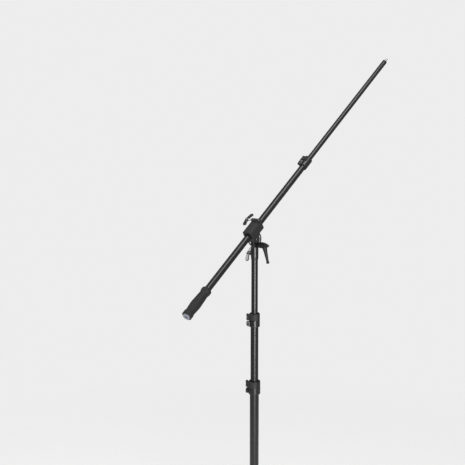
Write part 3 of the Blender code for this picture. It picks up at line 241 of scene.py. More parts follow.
class Finishes(Enum):
    """The stand's finishes, each named for what it is and how it was made."""

    # Powder coat on steel tube: satin, with an orange-peel relief that softens the long highlights.
    POWDER_COAT = Finish("powder_coat_on_tube", "satin_black_paint", "18181a", "1e1e20", 0.0, 0.24, 0.28,
                         2.2, 0.003, 45.0)
    # Powder coat on a die casting: duller, with a fine sandy grain drawn about three times too coarse.
    CASTING = Finish("powder_coat_on_casting", "black_die_casting", "242425", "2b2b2c", 0.0, 0.54, 0.64,
                     1.1, 0.008, 18.0, specular=0.3)
    # Stove enamel on a die casting: smooth enough for a clear soft stripe down a round collar.
    ENAMEL = Finish("stove_enamel_on_casting", "black_die_casting", "1a1a1c", "202022", 0.0, 0.25, 0.29,
                    1.6, 0.003, 20.0, specular=0.55)
    # Glass-filled nylon, moulded: near black, with a soft sheen.
    NYLON = Finish("moulded_nylon", "black_plastic", "141515", "191a1a", 0.0, 0.42, 0.50, 0.9, 0.005,
                   12.0, specular=0.3)
    # Gloss enamel on a small casting: the wings flash where they face a light and stay dark elsewhere.
    GLOSS_ENAMEL = Finish("gloss_enamel_on_wings", "black_plastic", "1c1c1e", "242426", 0.0, 0.13, 0.19,
                          1.2, 0.004, 12.0, specular=0.9)
    # Acetal liner, moulded: black and waxy.
    ACETAL = Finish("moulded_acetal", "black_plastic", "0b0b0b", "101010", 0.0, 0.42, 0.52, 1.5, 0.004,
                    20.0, specular=0.25)
    # Rubber, moulded: matt, greyed by a little bloom and dust.
    RUBBER = Finish("moulded_rubber", "black_rubber", "19191a", "202021", 0.0, 0.58, 0.68, 0.8, 0.008,
                    9.0, specular=0.35)
    # Nickel plate on turned steel: bright, with faint tool marks.
    NICKEL = Finish("nickel_plated_steel", "bright_steel", "b4b4ba", "c9c9ce", 1.0, 0.16, 0.28, 0.7,
                    0.006, 6.0)
    # Nickel plate gone dull: heads that catch a soft spot of light and no more.
    DULL_NICKEL = Finish("dull_nickel_plated_steel", "bright_steel", "58585c", "6c6c70", 1.0, 0.36, 0.46,
                         0.7, 0.004, 5.0)
    # Black oxide on steel: dark pins and screws whose edges still read as metal.
    BLACK_OXIDE = Finish("black_oxide_on_steel", "bright_steel", "333336", "414144", 1.0, 0.36, 0.46, 0.7,
                         0.004, 5.0)
    # Silver paint on ABS: a grey metallic lacquer with fine flake.
    SILVER_PAINT = Finish("silver_painted_abs", "grey_metallic_plastic", "83868f", "989ba5", 0.55, 0.34,
                          0.44, 0.5, 0.006, 8.0, 0.9, "b4b7c0", 0.35)

    def material(self) -> bpy.types.Material:
        """Return the finish's material."""
        return self.value.material()


# ---------------------------------------------------------------- outlines
def arc(centre: Point, radius: float, start: float, stop: float, count: int) -> Outline:
    """Return points on an arc, both ends included."""
    turns = [start + (stop - start) * i / (count - 1) for i in range(count)]
    return [(centre[0] + radius * math.cos(t), centre[1] + radius * math.sin(t)) for t in turns]


def circle(centre: Point, radius: float, count: int = 48) -> Outline:
    """Return a full circle without a repeated point."""
    return arc(centre, radius, 0.0, math.tau * (count - 1) / count, count)


def rounded_box(x0: float, y0: float, x1: float, y1: float, radius: float) -> Outline:
    """Draw a rectangle with four round corners.

    Args:
        x0: Left side.
        y0: Lower side.
        x1: Right side.
        y1: Upper side.
        radius: Radius of the corners.

    Returns:
        The closed outline.
    """
    corners = ((x1 - radius, y1 - radius), (x0 + radius, y1 - radius),
               (x0 + radius, y0 + radius), (x1 - radius, y0 + radius))
    points: Outline = []
    for i, corner in enumerate(corners):
        points += arc(corner, radius, i * math.pi / 2, (i + 1) * math.pi / 2, 8)
    return points


def curved_slot(radius: float, half_width: float, start: float, stop: float) -> Outline:
    """Draw a slot along an arc about the origin, with round ends.

    Args:
        radius: Radius of its middle line.
        half_width: Half of its width.
        start: Angle where it starts.
        stop: Angle where it ends.

    Returns:
        The closed outline.
    """
    first = (radius * math.cos(start), radius * math.sin(start))
    last = (radius * math.cos(stop), radius * math.sin(stop))
    outer = arc((0, 0), radius + half_width, start, stop, 48)
    inner = arc((0, 0), radius - half_width, stop, start, 48)
    return (outer + arc(last, half_width, stop, stop + math.pi, 12)[1:-1] + inner
            + arc(first, half_width, start + math.pi, start + math.tau, 12)[1:-1])


def fillet(points: Outline, radius: float, closed: bool, steps: int = 3) -> Outline:
    """Round the corners of an outline or a profile.

    Args:
        points: The outline's points.
        radius: How far the rounding reaches along each side, in metres.
        closed: Whether the last point joins the first.
        steps: Faces across one rounded corner.

    Returns:
        The points with each corner replaced by a short curve.
    """
    count = len(points)
    result: Outline = []
    for i, here in enumerate(points):
        if not closed and i in (0, count - 1):
            result.append(here)
            continue
        p, a, b = Vector(here), Vector(points[i - 1]), Vector(points[(i + 1) % count])
        to_a, to_b = a - p, b - p
        if to_a.length < 1e-9 or to_b.length < 1e-9 or abs(math.pi - to_a.angle(to_b)) < 0.12:
            result.append(here)
            continue
        reach = min(radius, to_a.length * 0.45, to_b.length * 0.45)
        start, stop = p + to_a.normalized() * reach, p + to_b.normalized() * reach
        for k in range(steps + 1):
            t = k / steps
            q = start * (1 - t) ** 2 + p * (2 * t * (1 - t)) + stop * t ** 2
            result.append((q.x, q.y))
    return result


# ---------------------------------------------------------------- mesh making
def new_object(name: str, mesh: bpy.types.Mesh | bpy.types.Curve) -> bpy.types.Object:
    """Link a mesh or a curve as an object at the origin.

    Args:
        name: The object's name.
        mesh: Its data.

    Returns:
        The new object.
    """
    made = bpy.data.objects.new(name, mesh)
    bpy.context.scene.collection.objects.link(made)
    return made


def from_bmesh(name: str, bm: bmesh.types.BMesh) -> bpy.types.Object:
    """Turn a bmesh into an object and free it.

    Args:
        name: The object's name.
        bm: The bmesh.

    Returns:
        The new object.
    """
    mesh = bpy.data.meshes.new(name)
    bm.to_mesh(mesh)
    bm.free()
    return new_object(name, mesh)


def lathe(name: str, profile: Outline, closed: bool = False, edge: float = 0.0005,
          steps: int = LATHE_STEPS) -> bpy.types.Object:
    """Turn a profile about Z.

    Args:
        name: The object's name.
        profile: Points of (radius, height); an open one starts and ends on the axis.
        closed: Whether the profile is a ring's section.
        edge: Size of the rounded corners.
        steps: Faces round the axis.

    Returns:
        The turned object.
    """
    points = fillet(profile, edge, closed)
    bm = bmesh.new()
    rings = []
    for radius, height in points:
        if radius < 1e-7:
            rings.append([bm.verts.new((0, 0, height))])
            continue
        rings.append([bm.verts.new((radius * math.cos(math.tau * k / steps),
                                    radius * math.sin(math.tau * k / steps), height)) for k in range(steps)])
    pairs = list(zip(rings, rings[1:]))
    if closed:
        pairs.append((rings[-1], rings[0]))
    for one, two in pairs:
        for k in range(steps):
            n = (k + 1) % steps
            corners = [one[k % len(one)], one[n % len(one)], two[n % len(two)], two[k % len(two)]]
            unique = list(dict.fromkeys(corners))
            if len(unique) > 2:
                bm.faces.new(unique)
    bmesh.ops.recalc_face_normals(bm, faces=bm.faces)
    return from_bmesh(name, bm)


def plate(name: str, outlines: list[Outline], low: float, high: float,
          edge: float = 0.0005) -> bpy.types.Object:
    """Extrude flat outlines along Z with rounded edges.

    Args:
        name: The object's name.
        outlines: The outer outline, then those of its holes.
        low: Height of the lower face.
        high: Height of the upper face.
        edge: Size of the rounded edges.

    Returns:
        The plate.
    """
    curve = bpy.data.curves.new(name, "CURVE")
    curve.dimensions = "2D"
    curve.fill_mode = "BOTH"
    curve.extrude = (high - low) / 2 - edge
    curve.bevel_depth = edge
    curve.bevel_resolution = 2
    curve.offset = -edge
    for outline in outlines:
        spline = curve.splines.new("POLY")
        spline.points.add(len(outline) - 1)
        spline.use_cyclic_u = True
        for point, (x, y) in zip(spline.points, outline):
            point.co = (x, y, 0.0, 1.0)
    drawn = new_object(name + "_drawing", curve)
    bpy.context.view_layer.update()
    graph = bpy.context.evaluated_depsgraph_get()
    mesh = bpy.data.meshes.new_from_object(drawn.evaluated_get(graph))
    bpy.data.objects.remove(drawn, do_unlink=True)
    bm = bmesh.new()
    bm.from_mesh(mesh)
    bmesh.ops.remove_doubles(bm, verts=bm.verts, dist=0.00002)
    bmesh.ops.translate(bm, verts=bm.verts, vec=(0, 0, (low + high) / 2))
    bmesh.ops.recalc_face_normals(bm, faces=bm.faces)
    bm.to_mesh(mesh)
    bm.free()
    mesh.materials.clear()
    return new_object(name, mesh)


def block_of(name: str, low: tuple[float, float, float],
             high: tuple[float, float, float]) -> bpy.types.Object:
    """Make a plain box, used only to cut other pieces.

    Args:
        name: The object's name.
        low: Its lowest corner.
        high: Its highest corner.

    Returns:
        The box.
    """
    bm = bmesh.new()
    bmesh.ops.create_cube(bm, size=1.0)
    bmesh.ops.scale(bm, verts=bm.verts, vec=Vector(high) - Vector(low))
    bmesh.ops.translate(bm, verts=bm.verts, vec=(Vector(high) + Vector(low)) / 2)
    return from_bmesh(name, bm)


def moved(thing: bpy.types.Object, place: Matrix) -> bpy.types.Object:
    """Put a place into an object's mesh.

    Args:
        thing: The object.
        place: The frame that its mesh moves to.

    Returns:
        The same object.
    """
    thing.data.transform(place)
    thing.data.update()
    return thing


def rod(name: str, radius: float, low: float, high: float, edge: float = 0.0004) -> bpy.types.Object:
    """Make a solid round bar along Z."""
    return lathe(name, [(0, high), (radius, high), (radius, low), (0, low)], edge=edge, steps=64)


def baked(thing: bpy.types.Object) -> bpy.types.Object:
    """Replace an object's mesh by what its modifiers make of it.

    Args:
        thing: The object.

    Returns:
        The same object, without modifiers.
    """
    bpy.context.view_layer.update()
    graph = bpy.context.evaluated_depsgraph_get()
    mesh = bpy.data.meshes.new_from_object(thing.evaluated_get(graph))
    thing.modifiers.clear()
    thing.data = mesh
    return thing


def shaded(thing: bpy.types.Object, angle: float = 38.0) -> bpy.types.Object:
    """Shade an object smooth, but for its sharp corners, with flat faces kept flat.

    Args:
        thing: The object.
        angle: Corners sharper than this many degrees stay sharp.

    Returns:
        The same object.
    """
    mesh = thing.data
    mesh.polygons.foreach_set("use_smooth", [True] * len(mesh.polygons))
    mesh.set_sharp_from_angle(angle=math.radians(angle))
    weigh = thing.modifiers.new("flat_faces", "WEIGHTED_NORMAL")
    weigh.keep_sharp = True
    return baked(thing)


def cast(core: bpy.types.Object, joined: list[bpy.types.Object], cut: list[bpy.types.Object], grain: float,
         rounds: int = 4) -> bpy.types.Object:
    """Join and cut solids, then melt them into one casting with soft corners.

    Args:
        core: The solid that the others are joined to.
        joined: Solids that are added.
        cut: Solids that are taken away.
        grain: Size of the casting's faces in metres.
        rounds: How often the corners are smoothed.

    Returns:
        The casting, shaded smooth.
    """
    for operation, tools in (("UNION", joined), ("DIFFERENCE", cut)):
        for tool in tools:
            modifier = core.modifiers.new(tool.name, "BOOLEAN")
            modifier.operation = operation
            modifier.object = tool
    melt = core.modifiers.new("melt", "REMESH")
    melt.mode = "VOXEL"
    melt.voxel_size = grain
    soft = core.modifiers.new("soft", "SMOOTH")
    soft.factor = 0.5
    soft.iterations = rounds
    baked(core)
    for tool in joined + cut:
        bpy.data.objects.remove(tool, do_unlink=True)
    core.data.polygons.foreach_set("use_smooth", [True] * len(core.data.polygons))
    return core


def fitted(thing: bpy.types.Object, finish: Finishes, body: str, *nodes: str,
           place: Matrix | None = None) -> bpy.types.Object:
    """Finish a piece and hand it to the frame.

    Args:
        thing: The piece, in its own frame.
        finish: What its surface is.
        body: The body that carries it.
        *nodes: The CAD nodes that it stands for.
        place: Where it goes, if its mesh isn't there yet.

    Returns:
        The piece.
    """
    if place is not None:
        moved(thing, place)
    thing.data.materials.clear()
    thing.data.materials.append(finish.material())
    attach(thing, body)
    if nodes:
        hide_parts(*nodes)
    LOG.info("%s: %d faces, on %s", thing.name, len(thing.data.polygons), body)
    return thing


# ---------------------------------------------------------------- repeated details
class NodeTreeMaker:
    """Base of the Geometry Nodes trees that add repeated details to a piece."""

    name: str = "detail"
    inputs: dict[str, float] = {}

    def __init__(self) -> None:
        """Build the tree with its named inputs."""
        self.tree = bpy.data.node_groups.new(self.name, "GeometryNodeTree")
        face = self.tree.interface
        face.new_socket("Geometry", in_out="INPUT", socket_type="NodeSocketGeometry")
        self.sockets: dict[str, str] = {}
        for label, default in self.inputs.items():
            kind = "NodeSocketInt" if isinstance(default, int) else "NodeSocketFloat"
            item = face.new_socket(label, in_out="INPUT", socket_type=kind)
            item.default_value = default
            self.sockets[label] = item.identifier
        stuff = face.new_socket("Material", in_out="INPUT", socket_type="NodeSocketMaterial")
        self.sockets["Material"] = stuff.identifier
        face.new_socket("Geometry", in_out="OUTPUT", socket_type="NodeSocketGeometry")
        self.start = add_node(self.tree, "NodeGroupInput")
        self.close(self.build())

    def build(self) -> bpy.types.NodeSocket:
        """Add the tree's own nodes.

        Returns:
            The socket of the repeated detail.
        """
        raise NotImplementedError

    def close(self, detail: bpy.types.NodeSocket) -> None:
        """Join the detail to the piece, make it real and dress it.

        Args:
            detail: The socket of the repeated detail.
        """
        join = add_node(self.tree, "GeometryNodeJoinGeometry")
        self.tree.links.new(self.start.outputs["Geometry"], join.inputs[0])
        self.tree.links.new(detail, join.inputs[0])
        real = add_node(self.tree, "GeometryNodeRealizeInstances", None, {0: join.outputs[0]})
        dressed = add_node(self.tree, "GeometryNodeSetMaterial", None,
                           {"Geometry": real.outputs[0], "Material": self.start.outputs["Material"]})
        add_node(self.tree, "NodeGroupOutput", None, {"Geometry": dressed.outputs[0]})

    def apply(self, thing: bpy.types.Object, finish: Finishes, **sizes: float) -> bpy.types.Object:
        """Add the detail to a piece and bake it.

        Args:
            thing: The piece.
            finish: Its finish.
            **sizes: Values of the tree's inputs, with underscores for spaces.

        Returns:
            The piece with the detail in its mesh.
        """
        modifier = thing.modifiers.new(self.name, "NODES")
        modifier.node_group = self.tree
        for label, value in sizes.items():
            modifier[self.sockets[label.replace("_", " ")]] = value
        modifier[self.sockets["Material"]] = finish.material()
        return baked(thing)


class ThreadRidges(NodeTreeMaker):
    """Ridges of a screw thread, one above the other along Z."""

    name = "thread_ridges"
    inputs = {"Count": 10, "Pitch": 0.0012, "Radius": 0.004, "Depth": 0.0004, "Start": 0.0}

    def build(self) -> bpy.types.NodeSocket:
        """Turn a three-sided section into a ring and repeat it up the screw.

        Returns:
            The socket of the ridges.
        """
        tree, start = self.tree, self.start
        first = add_node(tree, "ShaderNodeCombineXYZ", None, {"Z": start.outputs["Start"]})
        step = add_node(tree, "ShaderNodeCombineXYZ", None, {"Z": start.outputs["Pitch"]})
        line = add_node(tree, "GeometryNodeMeshLine", None,
                        {"Count": start.outputs["Count"], "Start Location": first.outputs[0],
                         "Offset": step.outputs[0]})
        path = add_node(tree, "GeometryNodeCurvePrimitiveCircle", None,
                        {"Resolution": 48, "Radius": start.outputs["Radius"]})
        section = add_node(tree, "GeometryNodeCurvePrimitiveCircle", None,
                           {"Resolution": 3, "Radius": start.outputs["Depth"]})
        ring = add_node(tree, "GeometryNodeCurveToMesh", None,
                        {"Curve": path.outputs["Curve"], "Profile Curve": section.outputs["Curve"]})
        rings = add_node(tree, "GeometryNodeInstanceOnPoints", None,
                         {"Points": line.outputs[0], "Instance": ring.outputs[0]})
        return rings.outputs[0]


class RivetHeads(NodeTreeMaker):
    """Domed heads at both ends of a pin that lies along Z."""

    name = "rivet_heads"
    inputs = {"Half Length": 0.01, "Radius": 0.004, "Dome": 0.4}

    def build(self) -> bpy.types.NodeSocket:
        """Put a flattened ball at each end.

        Returns:
            The socket of the heads.
        """
        tree, start = self.tree, self.start
        below = add_node(tree, "ShaderNodeMath", {"operation": "MULTIPLY"},
                         {0: start.outputs["Half Length"], 1: -1.0})
        whole = add_node(tree, "ShaderNodeMath", {"operation": "MULTIPLY"},
                         {0: start.outputs["Half Length"], 1: 2.0})
        first = add_node(tree, "ShaderNodeCombineXYZ", None, {"Z": below.outputs[0]})
        step = add_node(tree, "ShaderNodeCombineXYZ", None, {"Z": whole.outputs[0]})
        line = add_node(tree, "GeometryNodeMeshLine", None,
                        {"Count": 2, "Start Location": first.outputs[0], "Offset": step.outputs[0]})
        ball = add_node(tree, "GeometryNodeMeshUVSphere", None,
                        {"Segments": 32, "Rings": 16, "Radius": start.outputs["Radius"]})
        soft = add_node(tree, "GeometryNodeSetShadeSmooth", None, {"Geometry": ball.outputs["Mesh"]})
        flat = add_node(tree, "ShaderNodeCombineXYZ", None, {"X": 1.0, "Y": 1.0, "Z": start.outputs["Dome"]})
        heads = add_node(tree, "GeometryNodeInstanceOnPoints", None,
                         {"Points": line.outputs[0], "Instance": soft.outputs[0], "Scale": flat.outputs[0]})
        return heads.outputs[0]


# ---------------------------------------------------------------- column and boom tubes
@dataclass
class Tube:
    """A drawn tube with broken edges."""

    name: str
    body: str
    radius: float
    bore: float
    low: float
    high: float
    place: Matrix
    steps: int = 128

    def build(self) -> None:
        """Make the tube and hand it over."""
        profile = [(self.radius, self.high), (self.radius, self.low), (self.bore, self.low),
                   (self.bore, self.high)]
        tube = shaded(lathe(self.name + "_look", profile, True, 0.0004, self.steps))
        fitted(tube, Finishes.POWDER_COAT, self.body, self.name, place=self.place)


@dataclass
class Column:
    """The three column tubes and the rubber foot."""

    top_radius: float = 0.0125
    middle_radius: float = 0.0150
    lower_radius: float = 0.0175
    wall: float = 0.0018
    foot_height: float = 0.0100

    def build(self) -> None:
        """Make every piece of the column."""
        for name, body, radius in (("lower_tube", "base", self.lower_radius),
                                   ("middle_tube", "middle_stage", self.middle_radius),
                                   ("top_tube", "top_stage", self.top_radius)):
            low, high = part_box(name)
            Tube(name, body, radius, radius - self.wall, low[2], high[2], Layout.column(0.0)).build()
        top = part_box("column_foot")[1][2]
        plug = self.lower_radius - self.wall - GAP
        r = self.lower_radius
        profile = [(0, top), (plug, top), (plug, self.foot_height), (r, self.foot_height), (r, 0.0072),
                   (r - 0.0009, 0.0066), (r - 0.0009, 0.0058), (r, 0.0052), (r, 0.0022), (r - 0.002, 0),
                   (0, 0)]
        foot = shaded(lathe("column_foot_look", profile, edge=0.0004))
        fitted(foot, Finishes.RUBBER, "base", "column_foot")


@dataclass
class TubeClamp:
    """A quick clamp: cast collar, plastic liner, cam lever, lever pin and ear screw."""

    prefix: str
    body: str
    inner_radius: float
    outer_radius: float
    wall: float
    place: Matrix
    upper: float = 0.027
    lower: float = 0.025
    slit: float = 0.0018
    pin_gap: float = 0.0014
    screw_out: float = 0.0052
    wrap: float = math.radians(110.0)
    knuckle: float = 0.0050
    pin_radius: float = 0.0020
    screw_radius: float = 0.0025
    lever_thickness: float = 0.0030
    ear_half: float = 0.0068
    grain: float = 0.0006

    @property
    def bore(self) -> float:
        """Radius of the collar's bore."""
        return self.outer_radius + GAP

    @property
    def outside(self) -> float:
        """Outer radius of the collar."""
        return self.bore + self.wall

    @property
    def pin_x(self) -> float:
        """Lever pin from the tube's axis."""
        return self.outside + self.knuckle + self.pin_gap

    @property
    def lug_z(self) -> float:
        """Middle of the lug that holds the lever."""
        return self.slit / 2 + (self.upper - self.slit / 2) / 2

    @property
    def lever_span(self) -> tuple[float, float]:
        """Heights of the lever's lower and upper face."""
        return self.slit / 2 + 0.0012, self.upper - 0.0005

    def build(self) -> None:
        """Make the clamp's pieces."""
        self.build_collar()
        self.build_liner()
        self.build_lever()
        self.build_pins()

    def build_collar(self) -> None:
        """Cast collar with ears, lug, slit and split."""
        out, bore = self.outside, self.bore
        profile = [(out - 0.0012, self.upper), (out, self.upper - 0.0012), (out, 0.0012 - self.lower),
                   (out - 0.0012, -self.lower), (bore, -self.lower), (bore, self.upper)]
        collar = lathe(self.prefix + "_clamp_look", profile, True, 0.0008)
        root = bore + self.wall * 0.4
        ear = rounded_box(root, 0.0025 - self.lower, self.pin_x + self.knuckle * 0.8, -self.slit / 2 - 0.0016,
                          0.0055)
        ears = moved(plate("ears", [ear], -self.ear_half, self.ear_half, 0.0010), ACROSS)
        r = self.knuckle * 0.92
        lug_line = arc((self.pin_x, 0), r, -math.pi / 2, math.pi / 2, 16) + [(root, r), (root, -r)]
        lug = plate("lug", [lug_line], self.lug_z - 0.0022, self.lug_z + 0.0022, 0.0004)
        half = self.slit / 2
        slit = block_of("slit", (bore * 0.3, -0.05, -half), (0.06, 0.05, half))
        split = block_of("split", (bore * 0.5, -0.0010, -0.06), (0.06, 0.0010, 0.0))
        jaw = moved(block_of("jaw", (bore * 0.5, -0.0009, 0.0), (0.03, 0.0009, 0.06)),
                    Matrix.Rotation(math.radians(-38.0), 4, "Z"))
        hole = moved(rod("hole", self.screw_radius + GAP, -THROUGH, THROUGH), self.screw_frame())
        pin = moved(rod("pin", self.pin_radius + GAP, 0.0, 0.05), Matrix.Translation((self.pin_x, 0, 0)))
        collar = cast(collar, [ears, lug], [slit, split, jaw, hole, pin], self.grain, 3)
        fitted(collar, Finishes.ENAMEL, self.body, self.prefix + "_clamp_body", place=self.place)

    def screw_frame(self) -> Matrix:
        """Frame of the ear screw, Z through both ears."""
        middle = -(self.lower + self.slit / 2) / 2
        return axes(Vector((self.outside + self.screw_out, 0, middle)), SIDE, RIGHT)

    def build_liner(self) -> None:
        """Plastic liner with a rim on the collar's top."""
        top = self.upper + GAP
        rim = self.outer_radius + self.wall * 0.55
        bore = self.inner_radius + GAP
        profile = [(rim, top + 0.0012), (rim, top), (self.outer_radius, top),
                   (self.outer_radius, self.slit / 2), (bore, self.slit / 2), (bore, top + 0.0012)]
        liner = shaded(lathe(self.prefix + "_liner_look", profile, True, 0.0003))
        fitted(liner, Finishes.ACETAL, self.body, self.prefix + "_clamp_bush", place=self.place)

    def build_lever(self) -> None:
        """Cam lever with two knuckles and a paddle that wraps round the collar."""
        inner = self.outside + GAP * 1.5
        outer = inner + self.lever_thickness
        wrap = self.wrap
        mid = (inner + outer) / 2
        tip = (mid * math.cos(wrap), mid * math.sin(wrap))
        line = arc((self.pin_x, 0), self.knuckle, math.radians(-150), math.radians(60), 32)
        line += arc((0, 0), outer, math.radians(20.0), wrap, 48)
        line += arc(tip, self.lever_thickness / 2, wrap, wrap + math.pi, 12)[1:-1]
        line += arc((0, 0), inner, wrap, math.radians(8), 48)
        low, high = self.lever_span
        hole = circle((self.pin_x, 0), self.pin_radius + GAP, 32)
        lever = plate(self.prefix + "_lever_look", [line, hole], low, high, 0.0007)
        reach = self.knuckle + 0.0012
        notch = block_of("notch", (self.outside - 0.003, -reach, self.lug_z - 0.0025),
                         (self.pin_x + reach, reach, self.lug_z + 0.0025))
        lever = cast(lever, [], [notch], self.grain * 0.8, 3)
        fitted(lever, Finishes.CASTING, self.prefix + "_lever", self.prefix + "_lever", place=self.place)

    def build_pins(self) -> None:
        """Lever pin with a flat head, and the ear screw with a socket head."""
        low, high = self.lever_span[0] - GAP, self.lever_span[1] + GAP
        r, head = self.pin_radius, self.pin_radius + 0.0009
        profile = [(0, high + 0.0008), (head, high + 0.0008), (head, high), (r, high), (r, low), (0, low)]
        pin = shaded(lathe(self.prefix + "_pin_look", profile, edge=0.0003, steps=48))
        fitted(pin, Finishes.BLACK_OXIDE, self.body, self.prefix + "_lever_pin",
               place=self.place @ Matrix.Translation((self.pin_x, 0, 0)))
        ear, r, head = self.ear_half + GAP, self.screw_radius, self.screw_radius + 0.0014
        profile = [(0, ear + 0.0012), (0.0014, ear + 0.0012), (0.0016, ear + 0.0030), (head, ear + 0.0030),
                   (head, ear), (r, ear), (r, -ear), (head, -ear), (head, -ear - 0.0028), (0, -ear - 0.0028)]
        screw = shaded(lathe(self.prefix + "_screw_look", profile, edge=0.0003, steps=48))
        fitted(screw, Finishes.BLACK_OXIDE, self.body, self.prefix + "_clamp_screw",
               place=self.place @ self.screw_frame())


# ---------------------------------------------------------------- head
@dataclass
class WingKnob:
    """A butterfly nut with swept wings that swell into round ends."""

    name: str
    body: str
    place: Matrix
    span: float = 0.026
    height: float = 0.0065
    thickness: float = 0.0050
    hub_radius: float = 0.0062
    hub_length: float = 0.0120
    sweep: float = 0.0050
    swelling: float = 0.15
    bore: float = 0.0043
    grain: float = 0.00045

    def middle(self, t: float) -> float:
        """Return the wings' middle line at a share of their span."""
        return self.hub_length / 2 - self.sweep * t * t

    def half(self, t: float) -> float:
        """Return the wings' half height at a share of their span."""
        return self.height * (1 + self.swelling * t * t)

    def outline(self) -> Outline:
        """Draw the wings, X along them and Y away from the screw.

        Returns:
            The closed outline.
        """
        steps = [-1 + 2 * i / 32 for i in range(33)]
        upper = [(self.span * t, self.middle(t) + self.half(t)) for t in steps]
        lower = [(self.span * t, self.middle(t) - self.half(t)) for t in reversed(steps)]
        quarter, end, round_half = math.pi / 2, self.middle(1), self.half(1)
        right = arc((self.span, end), round_half, quarter, -quarter, 16)[1:-1]
        left = arc((-self.span, end), round_half, -quarter, -3 * math.pi / 2, 16)[1:-1]
        return upper + right + lower + left

    def build(self) -> None:
        """Melt hub and wings into one moulding."""
        top, r = self.hub_length, self.hub_radius
        hub = lathe(self.name + "_look", [(0, top), (r - 0.001, top), (r, top - 0.001), (r, 0), (0, 0)],
                    edge=0.0008)
        half = self.thickness / 2
        blades = moved(plate("blades", [self.outline()], -half, half, 0.0012), ACROSS)
        hole = rod("hole", self.bore, -0.02, top * 0.75)
        knob = cast(hub, [blades], [hole], self.grain, 6)
        fitted(knob, Finishes.GLOSS_ENAMEL, self.body, self.name, place=self.place)


